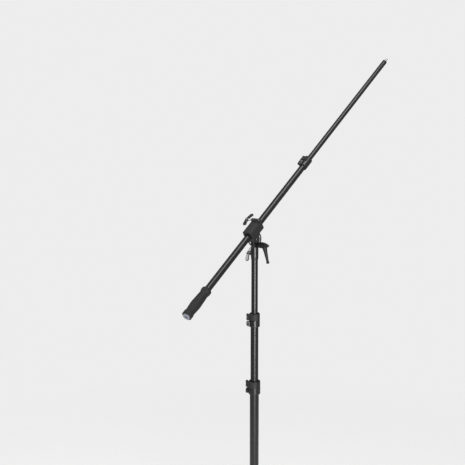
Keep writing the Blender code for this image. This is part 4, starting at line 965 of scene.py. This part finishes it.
@dataclass
class Head:
    """Head casting, clamp block, their pins and screws, two wing knobs and the locking lever."""

    threads: ThreadRidges
    socket_radius: float = 0.0145
    socket_top: float = 0.0285
    socket_length: float = 0.0505
    socket_roof: float = 0.0065
    tongue: float = 0.0130
    tongue_half: float = 0.0128
    tube_radius: float = Column.top_radius
    bolt_drop: float = 0.0205
    pin_radius: float = 0.0040
    cheek_radius: float = 0.0265
    cheek: float = 0.0060
    block_rear: float = 0.027
    block_front: float = 0.050
    block_half_width: float = 0.0203
    block_half_height: float = 0.0230
    chamfer_run: float = 0.0128
    chamfer_drop: float = 0.0058
    rib_radius: float = 0.0014
    lug_radius: float = 0.0070
    lug_half: float = 0.0160
    sleeve_bore: float = 0.0128
    sleeve_radius: float = 0.0148
    boss_height: float = 0.0045
    socket_wing_gap: float = 0.0040
    block_wing_gap: float = 0.017
    screw_in_wing: float = 0.009
    lever_radius: float = 0.0120
    lever_length: float = 0.0535
    arm_length: float = 0.0700
    arm_start: float = 0.0310
    arm_lean: float = math.radians(15.0)
    wing_turn: float = math.radians(36.5)

    @property
    def cheek_inner(self) -> float:
        """Inner face of a cheek from the middle."""
        return self.tongue / 2 + GAP

    @property
    def cheek_outer(self) -> float:
        """Outer face of a cheek from the middle."""
        return self.cheek_inner + self.cheek

    @property
    def bolt_point(self) -> Vector:
        """Middle of the lock bolt."""
        return Layout.pivot - Vector((0, 0, self.bolt_drop))

    def build(self) -> None:
        """Make every piece of the head."""
        self.build_casting()
        self.build_block()
        self.build_sleeve()
        self.build_pins()
        self.build_screws()
        self.build_lever()

    def build_casting(self) -> None:
        """Socket with a flat tongue and a screw boss."""
        top = -self.socket_top
        low = top - self.socket_length
        r, bore = self.socket_radius, self.tube_radius + GAP
        profile = [(0, top), (r - 0.0012, top), (r - 0.0002, top - 0.003), (r, top - 0.012), (r, low + 0.012),
                   (r - 0.0006, low + 0.003), (r - 0.0010, low), (bore, low), (bore, top - self.socket_roof),
                   (0, top - self.socket_roof)]
        head = lathe("head_casting_look", profile, edge=0.0010)
        root = top - self.socket_roof * 0.6
        outline = arc((0, 0), self.tongue_half, 0, math.pi, 40) + [(-self.tongue_half, root),
                                                                   (self.tongue_half, root)]
        tongue = moved(plate("tongue", [outline], -self.tongue / 2, self.tongue / 2, 0.0006), ACROSS)
        pin_hole = moved(rod("pin_hole", self.pin_radius + GAP, -THROUGH, THROUGH), ACROSS)
        bolt_hole = moved(rod("bolt_hole", self.pin_radius + GAP, -THROUGH, THROUGH),
                          Matrix.Translation((0, 0, -self.bolt_drop)) @ ACROSS)
        screw_z = joint_point("socket_wing_turn").z - Layout.pivot.z
        outwards = axes(Vector((0, 0, screw_z)), SIDE, RIGHT)
        boss = moved(rod("boss", 0.0070, self.tube_radius + 0.0012, r + self.boss_height, 0.0008), outwards)
        hole = moved(rod("hole", 0.0043, 0.006, 0.05), outwards)
        head = cast(head, [tongue, boss], [pin_hole, bolt_hole, hole], 0.0006, 4)
        fitted(head, Finishes.ENAMEL, "head", "head_casting", place=Matrix.Translation(Layout.pivot))

    def build_block(self) -> None:
        """Eight-sided block with a split lug and two slotted round cheeks."""
        wide, tall = self.block_half_width, self.block_half_height
        inner, shoulder = wide - self.chamfer_run, tall - self.chamfer_drop
        outline = [(wide, -shoulder), (wide, shoulder), (inner, tall), (-inner, tall),
                   (-wide, shoulder), (-wide, -shoulder), (-inner, -tall), (inner, -tall)]
        block = plate("clamp_block_look", [fillet(outline, 0.0045, True, 6)], -self.block_rear,
                      self.block_front, 0.0018)
        offset = (Layout.boom_centre - Layout.pivot).length
        lug_place = Matrix.Translation((0, tall + 0.0015, self.block_front - 0.0075)) @ axes(
            ORIGIN, RIGHT, UP)
        lug = moved(rod("lug", self.lug_radius, -self.lug_half, self.lug_half, 0.0010), lug_place)
        cheek_place = axes(Vector((0, -offset, 0)), -RIGHT, UP)
        slot = curved_slot(self.bolt_drop, self.pin_radius + GAP, math.radians(-180), 0.0)
        joined = [lug]
        for x, y in ((-wide, shoulder), (-inner, tall), (inner, tall), (wide, shoulder)):
            rib = rod("rib", self.rib_radius, 0.002 - self.block_rear, self.block_front - 0.002, 0.0003)
            joined.append(moved(rib, Matrix.Translation((x * 0.985, y * 0.985, 0.0))))
        for low in (self.cheek_inner, -self.cheek_outer):
            disc = circle((0, 0), self.cheek_radius, 96)
            cheek = plate("cheek", [disc, slot], low, low + self.cheek, 0.0006)
            joined.append(moved(cheek, cheek_place))
        pin_hole = moved(rod("pin_hole", self.pin_radius + GAP, -THROUGH, THROUGH), cheek_place)
        pocket = moved(rod("pocket", self.tongue_half + 0.0012, -self.cheek_inner, self.cheek_inner, 0.0001),
                       cheek_place)
        groove = moved(block_of("groove", (-0.04, -0.032, -self.cheek_inner),
                                (0.06, offset - tall + 0.0016, self.cheek_inner)), cheek_place)
        bore = rod("bore", self.sleeve_radius + GAP, -0.05, 0.07)
        split = block_of("split", (-0.0009, 0.0125, self.block_front - 0.022), (0.0009, 0.040, 0.06))
        screw_hole = moved(rod("screw_hole", self.pin_radius + GAP, -0.05, 0.05), lug_place)
        seats = [moved(rod("seat", self.lug_radius + 0.0004, low, low + 0.02), lug_place)
                 for low in (self.lug_half + 0.0001, -self.lug_half - 0.0201)]
        block = cast(block, joined, [pin_hole, pocket, groove, bore, split, screw_hole] + seats, 0.0007, 3)
        fitted(block, Finishes.CASTING, "tilt_block", "clamp_block", place=Layout.boom(0.0))

    def build_sleeve(self) -> None:
        """Plastic sleeve with a rim at each end of the block."""
        bore, out = self.sleeve_bore, self.sleeve_radius
        rim, front, rear = out + 0.0014, self.block_front + GAP, -self.block_rear - GAP
        profile = [(rim, front + 0.0016), (rim, front), (out, front), (out, rear), (rim, rear),
                   (rim, rear - 0.0016), (bore, rear - 0.0016), (bore, front + 0.0016)]
        sleeve = shaded(lathe("block_sleeve_look", profile, True, 0.0004))
        fitted(sleeve, Finishes.ACETAL, "boom_sleeve", "block_sleeve", place=Layout.boom(0.0))

    def build_pins(self) -> None:
        """Tilt pin with domed heads, and the lock bolt with a six-sided head."""
        out, r = self.cheek_outer + GAP, self.pin_radius
        head = r + 0.0035
        profile = [(0, out + 0.0020), (head * 0.5, out + 0.0018), (head - 0.0012, out + 0.0012), (head, out),
                   (r, out), (r, -out), (head, -out), (head - 0.0012, -out - 0.0012),
                   (head * 0.5, -out - 0.0018), (0, -out - 0.0020)]
        pin = shaded(lathe("pivot_pin_look", profile, edge=0.0004, steps=64))
        fitted(pin, Finishes.DULL_NICKEL, "head", "pivot_pin", place=axes(Layout.pivot, -SIDE, RIGHT))
        tip = out + self.lever_length * 0.4 - GAP
        shank = rod("lock_bolt_look", r, -out - 0.001, tip)
        hexagon = plate("hexagon", [circle((0, 0), r + 0.0030, 6)], -out - 0.0040, -out, 0.0004)
        bolt = cast(shank, [hexagon], [], 0.00035, 2)
        fitted(bolt, Finishes.DULL_NICKEL, "head", "lock_bolt", place=axes(self.bolt_point, -SIDE, RIGHT))

    def build_screws(self) -> None:
        """The two threaded screws with their wing knobs."""
        lug = joint_point("block_wing_turn")
        place = axes(lug, SIDE, Layout.boom_axis)
        seat, start = self.lug_half + self.block_wing_gap, -self.lug_half - GAP
        r, tip = self.pin_radius, seat + self.screw_in_wing - GAP
        head = [(0, start), (r + 0.0026, start), (r + 0.0026, start - 0.0040), (0.0018, start - 0.0040),
                (0.0016, start - 0.0020), (0, start - 0.0020)]
        cap = shaded(lathe("block_screw_head_look", head, edge=0.0004, steps=64))
        fitted(cap, Finishes.DULL_NICKEL, "tilt_block", place=place)
        profile = [(0, tip), (r - 0.0004, tip), (r - 0.0004, start), (0, start)]
        screw = shaded(lathe("block_screw_look", profile, edge=0.0004, steps=64))
        self.threads.apply(screw, Finishes.NICKEL, Count=22, Pitch=0.00125, Radius=r - 0.0004, Depth=0.0004,
                           Start=self.lug_half - 0.002)
        fitted(screw, Finishes.NICKEL, "tilt_block", "block_screw", place=place)
        WingKnob("block_wing", "block_wing", place @ Matrix.Translation((0, 0, seat))).build()
        turn = self.wing_turn
        place = axes(joint_point("socket_wing_turn"), SIDE, Vector((-math.sin(turn), 0, -math.cos(turn))))
        seat = self.socket_radius + self.boss_height + self.socket_wing_gap
        tip = seat + self.screw_in_wing - GAP
        start = self.tube_radius + GAP
        profile = [(0, tip), (r - 0.0004, tip), (r - 0.0004, start), (0, start)]
        screw = shaded(lathe("socket_screw_look", profile, edge=0.0004, steps=64))
        self.threads.apply(screw, Finishes.NICKEL, Count=8, Pitch=0.00125, Radius=r - 0.0004, Depth=0.0004,
                           Start=start + 0.003)
        fitted(screw, Finishes.NICKEL, "head", "socket_screw", place=place)
        WingKnob("socket_wing", "socket_wing", place @ Matrix.Translation((0, 0, seat))).build()

    def build_lever(self) -> None:
        """Pointed hub with a tapered arm, moulded in one."""
        base, length, wide = self.cheek_outer + GAP * 2, self.lever_length, self.lever_radius
        r = self.pin_radius + GAP
        depth = length * 0.4
        profile = [(0, base + length), (wide * 0.22, base + length * 0.985),
                   (wide * 0.56, base + length * 0.86), (wide * 0.86, base + length * 0.64),
                   (wide, base + length * 0.38),
                   (wide * 0.96, base + length * 0.18), (wide * 0.82, base + 0.0040),
                   (wide * 0.60, base + 0.0025), (wide * 0.60, base), (r, base), (r, base + depth),
                   (0, base + depth)]
        place = axes(self.bolt_point, -SIDE, RIGHT)
        hub = lathe("lock_lever_look", profile, edge=0.0030, steps=64)
        thick, thin, reach = wide * 0.80, wide * 0.40, self.arm_length
        arm_profile = [(0, 0), (thick * 0.9, 0), (thick, -reach * 0.10), (thick * 0.72, -reach * 0.36),
                       (thin * 1.08, -reach * 0.75), (thin, -reach * 0.86), (thin * 1.28, -reach * 0.92),
                       (thin * 1.28, -reach * 0.97), (thin * 0.9, -reach), (0, -reach)]
        centre = self.bolt_point - SIDE * (base + self.arm_start)
        up = Vector((0, math.sin(self.arm_lean), math.cos(self.arm_lean)))
        arm = moved(lathe("arm", arm_profile, edge=0.0020, steps=48),
                    place.inverted() @ axes(centre, up, RIGHT))
        lever = cast(hub, [arm], [], 0.0006, 8)
        fitted(lever, Finishes.NYLON, "lock_lever", "lock_lever", place=place)


# ---------------------------------------------------------------- boom
@dataclass
class Boom:
    """Both boom tubes, the rubber grip, its cap, the tip plug and the threaded stud."""

    threads: ThreadRidges
    outer_radius: float = 0.0125
    outer_bore: float = 0.0110
    inner_radius: float = 0.0105
    inner_bore: float = 0.0093
    rear: float = 0.452
    clamp_at: float = 0.4350
    exposed: float = 0.750
    hidden: float = 0.090
    grip_length: float = 0.134
    flange: float = 0.0190
    waist: float = 0.0168
    swell: float = 0.0195
    cap_radius: float = 0.0140
    stud_radius: float = 0.00475
    stud_length: float = 0.0240
    grip_overhang: float = 0.0020
    cap_overhang: float = 0.0060
    plug_radius: float = 0.0090
    plug_depth: float = 0.025
    plug_rim: float = 0.0030

    @property
    def tip(self) -> float:
        """End of the inner tube along the boom."""
        return self.clamp_at + TubeClamp.upper + self.exposed

    def build(self) -> None:
        """Make every piece of the boom."""
        here = Layout.boom(0.0)
        Tube("boom_outer_tube", "boom_outer", self.outer_radius, self.outer_bore, -self.rear,
             self.clamp_at - SLIT_ABOVE_TUBE, here).build()
        Tube("boom_inner_tube", "boom_inner", self.inner_radius, self.inner_bore, self.clamp_at - self.hidden,
             self.tip, here).build()
        self.build_grip()
        self.build_cap()
        self.build_tip()

    def build_grip(self) -> None:
        """Rubber grip with two flanges, two waists and a long swell."""
        rear, length = -self.rear - self.grip_overhang, self.grip_length
        flange, waist, swell = self.flange, self.waist, self.swell
        outer = [(flange - 0.0012, 1.0), (flange, 0.99), (flange, 0.905), (waist, 0.865), (waist, 0.80),
                 (swell - 0.0012, 0.60), (swell, 0.46), (swell - 0.0008, 0.33), (waist + 0.0004, 0.205),
                 (waist, 0.165), (flange, 0.115), (flange, 0.01), (flange - 0.0012, 0.0)]
        profile = [(radius, rear + length * share) for radius, share in outer]
        profile += [(self.cap_radius + GAP, rear), (self.cap_radius + GAP, GAP - self.rear),
                    (self.outer_radius + GAP, GAP - self.rear), (self.outer_radius + GAP, rear + length)]
        grip = lathe("boom_grip_look", fillet(profile, 0.0040, True, 6), True, 0.0004)
        fitted(shaded(grip), Finishes.RUBBER, "boom_outer", "boom_grip", place=Layout.boom(0.0))

    def build_cap(self) -> None:
        """Silver end cap with a recess and a plug."""
        face, seat, r = -self.rear - self.cap_overhang, -self.rear - GAP, self.cap_radius
        plug = self.inner_radius + 0.0005 - GAP
        profile = [(0, seat + 0.022), (plug, seat + 0.022), (plug, seat), (r, seat), (r, face + 0.0010),
                   (r - 0.0010, face), (0.0072, face), (0.0066, face + 0.0006), (0.0058, face + 0.0006),
                   (0.0055, face + 0.0070), (0, face + 0.0070)]
        cap = shaded(lathe("boom_cap_look", profile, edge=0.0006))
        fitted(cap, Finishes.SILVER_PAINT, "boom_outer", "boom_cap", place=Layout.boom(0.0))

    def build_tip(self) -> None:
        """Plastic plug in the tube's end, and the stud with its thread."""
        tip, plug, stud = self.tip, self.plug_radius, self.stud_radius + GAP
        front = tip + GAP + self.plug_rim
        profile = [(self.inner_radius - 0.001, front), (self.inner_radius, front - 0.001),
                   (self.inner_radius, tip + GAP), (plug, tip + GAP), (plug, tip - self.plug_depth),
                   (stud, tip - self.plug_depth), (stud, front)]
        adapter = shaded(lathe("tip_adapter_look", profile, True, 0.0004))
        fitted(adapter, Finishes.ACETAL, "boom_inner", "tip_adapter", place=Layout.boom(0.0))
        end, r = front + self.stud_length, self.stud_radius
        core = r - 0.0006
        profile = [(0, end), (core - 0.0008, end), (core, end - 0.0010), (core, front + 0.003),
                   (r, front + 0.002), (r, front - self.plug_depth),
                   (0, front - self.plug_depth)]
        screw = shaded(lathe("thread_stud_look", profile, edge=0.0003, steps=64))
        self.threads.apply(screw, Finishes.NICKEL, Count=12, Pitch=0.0016, Radius=core, Depth=0.00058,
                           Start=front + 0.0038)
        fitted(screw, Finishes.NICKEL, "boom_inner", "thread_stud", place=Layout.boom(0.0))


# ---------------------------------------------------------------- tripod
@dataclass
class Tripod:
    """Crown with its knob, strut collar, three legs and three struts."""

    rivets: RivetHeads
    hinge_radius: float = 0.040
    strut_length: float = 0.2357
    strut_angle: float = math.radians(40.0)
    strut_thickness: float = 0.0040
    strut_half: float = 0.0065
    leg_offset: float = 0.0215
    leg_radius: float = 0.0100
    leg_wall: float = 0.0015
    knuckle: float = 0.0120
    knuckle_radius: float = 0.0090
    collar_radius: float = 0.0240
    collar_height: float = 0.0340
    column_radius: float = Column.lower_radius
    cheek: float = 0.0040
    boot_radius: float = 0.0135
    boot_length: float = 0.0480
    knob_radius: float = 0.0170
    knob_height: float = 0.0140
    knob_turn: float = math.radians(60.0)
    knob_gap: float = 0.001
    boss_length: float = 0.010
    boot_floor: float = 0.022
    leg_tube_drop: float = 0.018
    neck: float = 0.72
    strut_waist: float = 0.72
    leg_turns: tuple[float, ...] = (0.0, math.radians(120.0), math.radians(240.0))
    pin_hole: float = 0.0033
    rivet_hole: float = 0.0028

    @property
    def along(self) -> float:
        """Distance down a leg to its strut bracket."""
        return math.sqrt(self.strut_length ** 2 - self.leg_offset ** 2)

    @property
    def leg_angle(self) -> float:
        """Leg from the vertical."""
        return self.strut_angle + math.atan2(self.leg_offset, self.along)

    @property
    def leg_length(self) -> float:
        """Hinge to floor along a leg."""
        return Layout.crown_height / math.cos(self.leg_angle)

    @property
    def collar_z(self) -> float:
        """Height of the strut collar."""
        return Layout.crown_height - 2 * self.strut_length * math.cos(self.strut_angle)

    def build(self) -> None:
        """Make every piece of the tripod."""
        self.build_collars()
        self.build_knob()
        for number, angle in enumerate(self.leg_turns, start=1):
            self.build_leg(number, angle)
            self.build_strut(number, angle)
            self.build_pins(number, angle)

    @staticmethod
    def radial(angle: float) -> Vector:
        """Return the horizontal direction of a leg."""
        return Vector((math.cos(angle), math.sin(angle), 0.0))

    @staticmethod
    def tangent(angle: float) -> Vector:
        """Return the direction of a leg's hinge pin."""
        return Vector((-math.sin(angle), math.cos(angle), 0.0))

    def leg_hinge(self, angle: float) -> Vector:
        """Return the hinge between the crown and a leg."""
        return self.radial(angle) * self.hinge_radius + Vector((0, 0, Layout.crown_height))

    def strut_hinge(self, angle: float) -> Vector:
        """Find the hinge between a leg and its strut.

        Args:
            angle: The leg's direction round the column.

        Returns:
            The hinge's middle.
        """
        out = self.hinge_radius + self.strut_length * math.sin(self.strut_angle)
        down = self.strut_length * math.cos(self.strut_angle)
        return self.radial(angle) * out + Vector((0, 0, Layout.crown_height - down))

    def leg_frame(self, angle: float) -> Matrix:
        """Set up the frame at a leg's hinge: Z up the leg, X to the column's side and down.

        Args:
            angle: The leg's direction round the column.

        Returns:
            The frame.
        """
        down = self.radial(angle) * math.sin(self.leg_angle) - Vector((0, 0, math.cos(self.leg_angle)))
        inward = down.cross(self.tangent(angle))
        if inward.z > 0:
            inward = -inward
        return axes(self.leg_hinge(angle), -down, inward)

    def collar(self, name: str, half_gap: float, pin_radius: float, eye: float,
               knob_boss: bool) -> bpy.types.Object:
        """Cast a collar with three forks.

        Args:
            name: The object's name.
            half_gap: Half of a fork's inner width.
            pin_radius: Radius of the forks' holes.
            eye: Radius of the cheeks' round ends.
            knob_boss: Whether a boss for the knob is added.

        Returns:
            The collar, about its own middle.
        """
        half, out, bore = self.collar_height / 2, self.collar_radius, self.column_radius + GAP
        profile = [(out - 0.0015, half), (out, half - 0.0015), (out, 0.0015 - half), (out - 0.0015, -half),
                   (bore, -half), (bore, half)]
        ring = lathe(name, profile, True, 0.0010)
        root = out - 0.0045
        line = arc((self.hinge_radius, 0), eye, -math.pi / 2, math.pi / 2, 24) + [(root, eye * 1.15),
                                                                                 (root, -eye * 1.15)]
        hole = circle((self.hinge_radius, 0), pin_radius, 32)
        joined = []
        for angle in self.leg_turns:
            place = axes(ORIGIN, -self.tangent(angle), self.radial(angle))
            for low in (half_gap, -half_gap - self.cheek):
                joined.append(moved(plate("cheek", [line, hole], low, low + self.cheek, 0.0006), place))
        cuts = []
        if knob_boss:
            place = axes(ORIGIN, self.radial(self.knob_turn), UP)
            joined.append(moved(rod("boss", 0.0090, out - 0.0035, out + self.boss_length, 0.0010), place))
            cuts.append(moved(rod("boss_hole", self.pin_hole, 0.010, out + 0.02), place))
        return cast(ring, joined, cuts, 0.0008, 3)

    def build_collars(self) -> None:
        """Sliding crown and fixed strut collar."""
        crown = self.collar("crown_collar_look", self.knuckle / 2 + 0.0004, self.pin_hole,
                            self.knuckle_radius, True)
        fitted(crown, Finishes.CASTING, "crown", "crown_collar", place=Layout.column(Layout.crown_height))
        base = self.collar("base_collar_look", self.strut_thickness / 2 + 0.0004, self.rivet_hole,
                           self.strut_half + 0.0005, False)
        fitted(base, Finishes.CASTING, "base", "base_collar", place=Layout.column(self.collar_z))

    def build_knob(self) -> None:
        """Five-lobed knob with its screw."""
        base = self.collar_radius + self.boss_length + self.knob_gap
        outline = []
        for i in range(160):
            turn = math.tau * i / 160
            radius = self.knob_radius * (0.90 + 0.10 * math.cos(5 * turn))
            outline.append((radius * math.cos(turn), radius * math.sin(turn)))
        knob = plate("crown_knob_look", [outline], base, base + self.knob_height, 0.0018)
        screw = rod("screw", 0.0030, self.column_radius + GAP, base + 0.004, 0.0002)
        place = axes(Vector((0, 0, Layout.crown_height)), self.radial(self.knob_turn), UP)
        fitted(cast(knob, [screw], [], 0.0005, 5), Finishes.NYLON, "crown_knob", "crown_knob", place=place)

    def build_leg(self, number: int, angle: float) -> None:
        """Knuckle, tube, strut bracket and boot of one leg.

        Args:
            number: The leg's number.
            angle: Its direction round the column.
        """
        place, body, r = self.leg_frame(angle), "leg_%d" % number, self.leg_radius
        stop = -self.leg_length
        Tube("leg_tube_%d" % number, body, r, r - self.leg_wall, stop + self.boot_floor,
             -self.leg_tube_drop, place, 64).build()
        across = axes(ORIGIN, SIDE, RIGHT)
        lean = math.asin(self.neck)
        side = self.knuckle_radius * self.neck
        line = arc((0, 0), self.knuckle_radius, math.pi / 2 + lean, math.tau + math.pi / 2 - lean, 40)
        line += [(side, 0.014), (-side, 0.014)]
        half = self.knuckle / 2
        hole = circle((0, 0), self.pin_hole, 32)
        eye = moved(plate("leg_knuckle_%d_look" % number, [line, hole], -half, half, 0.0007), across)
        shank = rod("shank", r - self.leg_wall - GAP, -0.045, -0.010)
        fitted(cast(eye, [shank], [], 0.0005, 3), Finishes.CASTING, body, "leg_knuckle_%d" % number,
               place=place)
        self.build_bracket(number, place)
        self.build_boot(number, place)

    def build_bracket(self, number: int, place: Matrix) -> None:
        """Band with two ears for the strut.

        Args:
            number: The leg's number.
            place: The frame at its hinge.
        """
        bore = self.leg_radius + GAP
        out, half = bore + 0.003, 0.013
        band = lathe("leg_bracket_%d_look" % number, [(out, half), (out, -half), (bore, -half), (bore, half)],
                     True, 0.0008, 64)
        eye = self.strut_half + 0.0005
        root = bore + 0.0012
        line = arc((self.leg_offset, 0), eye, -math.pi / 2, math.pi / 2, 24) + [(root, half * 0.9),
                                                                               (root, -half * 0.9)]
        hole = circle((self.leg_offset, 0), self.rivet_hole, 32)
        ears = [moved(plate("ear", [line, hole], low, low + 0.003, 0.0005), ACROSS)
                for low in (0.0024, -0.0054)]
        fitted(cast(band, ears, [], 0.0006, 3), Finishes.CASTING, "leg_%d" % number,
               "leg_bracket_%d" % number,
               place=place @ Matrix.Translation((0, 0, -self.along)))

    def build_boot(self, number: int, place: Matrix) -> None:
        """Rubber boot with two ribs, cut level with the floor.

        Args:
            number: The leg's number.
            place: The frame at its hinge.
        """
        r, bore, stop = self.boot_radius, self.leg_radius + GAP, -self.leg_length
        top, plug = stop + self.boot_length, stop + self.boot_floor - GAP
        profile = [(0, plug), (bore, plug), (bore, top), (r - 0.0008, top),
                   (r, top - 0.0015), (r, top - 0.006), (r - 0.0010, top - 0.0072),
                   (r - 0.0010, top - 0.0092), (r, top - 0.0104), (r, top - 0.0134),
                   (r - 0.0010, top - 0.0146),
                   (r - 0.0010, top - 0.0166), (r, top - 0.0178), (r, stop - r * 2), (0, stop - r * 2)]
        boot = lathe("leg_boot_%d_look" % number, profile, edge=0.0005, steps=64)
        moved(boot, place)
        floor = block_of("floor_cut", (-1, -1, -0.2), (1, 1, 0.0))
        modifier = boot.modifiers.new("floor", "BOOLEAN")
        modifier.object = floor
        baked(boot)
        bpy.data.objects.remove(floor, do_unlink=True)
        fitted(shaded(boot), Finishes.RUBBER, "leg_%d" % number, "leg_boot_%d" % number)

    def build_strut(self, number: int, angle: float) -> None:
        """Flat strut with round ends, from the leg down to the collar.

        Args:
            number: The leg's number.
            angle: Its direction round the column.
        """
        upper = self.strut_hinge(angle)
        lower = self.radial(angle) * self.hinge_radius + Vector((0, 0, self.collar_z))
        wide, narrow, length = self.strut_half, self.strut_half * self.strut_waist, self.strut_length
        line = arc((0, 0), wide, math.radians(50), math.radians(310), 24)
        line += [(wide * 2.2, -narrow), (length - wide * 2.2, -narrow)]
        line += arc((length, 0), wide, math.radians(-130), math.radians(130), 24)
        line += [(length - wide * 2.2, narrow), (wide * 2.2, narrow)]
        holes = [circle((x, 0), self.rivet_hole, 32) for x in (0.0, length)]
        half = self.strut_thickness / 2
        strut = shaded(plate("strut_%d_look" % number, [line] + holes, -half, half, 0.0007))
        fitted(strut, Finishes.POWDER_COAT, "strut_%d" % number, "strut_%d" % number,
               place=axes(upper, self.tangent(angle), lower - upper))

    def build_pins(self, number: int, angle: float) -> None:
        """Crown pin and strut rivet of one leg, with domed heads.

        Args:
            number: The leg's number.
            angle: Its direction round the column.
        """
        hinge = self.leg_hinge(angle)
        sets = (("leg_pin_%d" % number, "crown", 0.0030, self.knuckle / 2 + 0.0044, hinge),
                ("strut_rivet_%d" % number, "leg_%d" % number, 0.0025, 0.0054, self.strut_hinge(angle)))
        for name, body, radius, half, point in sets:
            pin = shaded(rod(name + "_look", radius, -half, half))
            self.rivets.apply(pin, Finishes.NICKEL, Half_Length=half + GAP, Radius=radius + 0.0016, Dome=0.3)
            fitted(pin, Finishes.NICKEL, body, name, place=axes(point, self.tangent(angle), UP))


# ---------------------------------------------------------------- studio
@dataclass
class Studio:
    """Pale floor, soft light and the camera."""

    backdrop: str = "ededed"
    fill: float = 0.24
    forward: Vector = Vector((0.7972, 0.6037, 0.0))
    right: Vector = Vector((0.6037, -0.7972, 0.0))
    camera_offset: tuple[float, float, float] = (-0.0519, -3.2515, 0.5341)
    look_down: float = math.radians(8.9)
    lens: float = 67.35
    shift: float = -0.0183
    floor_tone: str = "e6e6e6"
    floor_glow: float = 0.20
    floor_radius: float = 3.2
    fade_from: float = 1.0
    fade_to: float = 2.9

    def point(self, right: float, away: float, up: float) -> Vector:
        """Return a point from the tilt axis, in the camera's directions."""
        return Layout.pivot + self.right * right + self.forward * away + Vector((0, 0, up))

    def build(self) -> None:
        """Make the floor, the light and the camera."""
        self.build_world()
        self.build_floor()
        self.build_lights()
        self.build_camera()

    def build_world(self) -> None:
        """Pale backdrop to look at, with a weaker even fill as light."""
        world = bpy.data.worlds.new("studio")
        bpy.context.scene.world = world
        world.use_nodes = True
        tree = world.node_tree
        tree.nodes.clear()
        seen = add_node(tree, "ShaderNodeBackground", None, {"Color": srgb(self.backdrop), "Strength": 1.0})
        lit = add_node(tree, "ShaderNodeBackground", None, {"Color": (1, 1, 1, 1), "Strength": self.fill})
        ray = add_node(tree, "ShaderNodeLightPath")
        mix = add_node(tree, "ShaderNodeMixShader", None,
                       {0: ray.outputs["Is Camera Ray"], 1: lit.outputs[0], 2: seen.outputs[0]})
        add_node(tree, "ShaderNodeOutputWorld", None, {"Surface": mix.outputs[0]})

    def build_floor(self) -> None:
        """Round pale floor that fades into the backdrop."""
        bm = bmesh.new()
        bmesh.ops.create_circle(bm, cap_ends=True, segments=96, radius=self.floor_radius)
        floor = from_bmesh("floor", bm)
        made = bpy.data.materials.new("pale_floor")
        made.use_nodes = True
        tree = made.node_tree
        shader = tree.nodes["Principled BSDF"]
        shader.inputs["Base Color"].default_value = srgb(self.floor_tone)
        shader.inputs["Roughness"].default_value = 0.9
        shader.inputs["Specular IOR Level"].default_value = 0.0
        shader.inputs["Emission Color"].default_value = (1, 1, 1, 1)
        shader.inputs["Emission Strength"].default_value = self.floor_glow
        place = add_node(tree, "ShaderNodeTexCoord").outputs["Object"]
        length = add_node(tree, "ShaderNodeVectorMath", {"operation": "LENGTH"}, {0: place})
        fade = add_node(tree, "ShaderNodeMapRange", {"interpolation_type": "SMOOTHSTEP"},
                        {"Value": length.outputs["Value"], "From Min": self.fade_from,
                         "From Max": self.fade_to, "To Min": 1.0, "To Max": 0.0})
        tree.links.new(fade.outputs["Result"], shader.inputs["Alpha"])
        floor.data.materials.append(made)

    def build_lights(self) -> None:
        """Three soft panels that face the head."""
        self.panel("front_panel", self.point(1.5, -7.4, -0.2), 3.6, 5.0, 680.0)
        self.panel("overhead_panel", self.point(2.5, -0.6, 7.1), 4.6, 4.6, 270.0)
        self.panel("high_left_panel", self.point(-5.0, 0.6, 4.9), 3.5, 3.5, 190.0)

    def panel(self, name: str, place: Vector, wide: float, tall: float, power: float) -> None:
        """Hang one soft panel.

        Args:
            name: The light's name.
            place: Its centre.
            wide: Its width.
            tall: Its height.
            power: Its power in watts.
        """
        data = bpy.data.lights.new(name, "AREA")
        data.shape = "RECTANGLE"
        data.size, data.size_y = wide, tall
        data.energy = power
        light = bpy.data.objects.new(name, data)
        bpy.context.scene.collection.objects.link(light)
        light.location = place
        light.rotation_euler = (Layout.pivot - place).to_track_quat("-Z", "Y").to_euler()

    def build_camera(self) -> None:
        """Camera a little above the head, looking slightly down."""
        data = bpy.data.cameras.new("camera")
        data.lens, data.sensor_width = self.lens, 36.0
        data.shift_x = self.shift
        camera = bpy.data.objects.new("camera", data)
        bpy.context.scene.collection.objects.link(camera)
        camera.location = self.point(*self.camera_offset)
        look = self.forward * math.cos(self.look_down) - Vector((0, 0, math.sin(self.look_down)))
        camera.rotation_euler = look.to_track_quat("-Z", "Y").to_euler()
        bpy.context.scene.camera = camera
        bpy.context.scene.view_settings.view_transform = "Standard"
        bpy.context.scene.view_settings.look = "None"


def column_clamp(prefix: str, body: str, inner: float, outer: float, slit: float) -> TubeClamp:
    """Set up a column clamp, turned as its lever's hinge says.

    Args:
        prefix: First word of its nodes' names.
        body: The body that carries it.
        inner: Radius of the inner tube.
        outer: Radius of the outer tube.
        slit: Height of its slit.

    Returns:
        The clamp, not yet built.
    """
    hinge = joint_point(prefix + "_lever_turn")
    place = Layout.column(slit, math.atan2(hinge.y, hinge.x))
    return TubeClamp(prefix, body, inner, outer, COLUMN_CLAMP_WALL, place)


def main() -> None:
    """Build the stand, then the studio round it."""
    logging.basicConfig(level=logging.INFO, format="%(message)s")
    threads, rivets = ThreadRidges(), RivetHeads()
    Column().build()
    column_clamp("lower", "base", Column.middle_radius, Column.lower_radius, Layout.lower_slit).build()
    column_clamp("upper", "middle_stage", Column.top_radius, Column.middle_radius, Layout.upper_slit).build()
    hinge = joint_point("boom_lever_turn") - Layout.boom_centre
    turn = math.atan2(hinge.dot(Layout.boom_up), hinge.dot(SIDE))
    place = Layout.boom(Boom.clamp_at) @ Matrix.Rotation(turn, 4, "Z")
    TubeClamp("boom", "boom_outer", Boom.inner_radius, Boom.outer_radius, BOOM_CLAMP_WALL, place,
              wrap=BOOM_LEVER_WRAP).build()
    Head(threads).build()
    Boom(threads).build()
    Tripod(rivets).build()
    Studio().build()


if __name__ == "__main__":
    main()
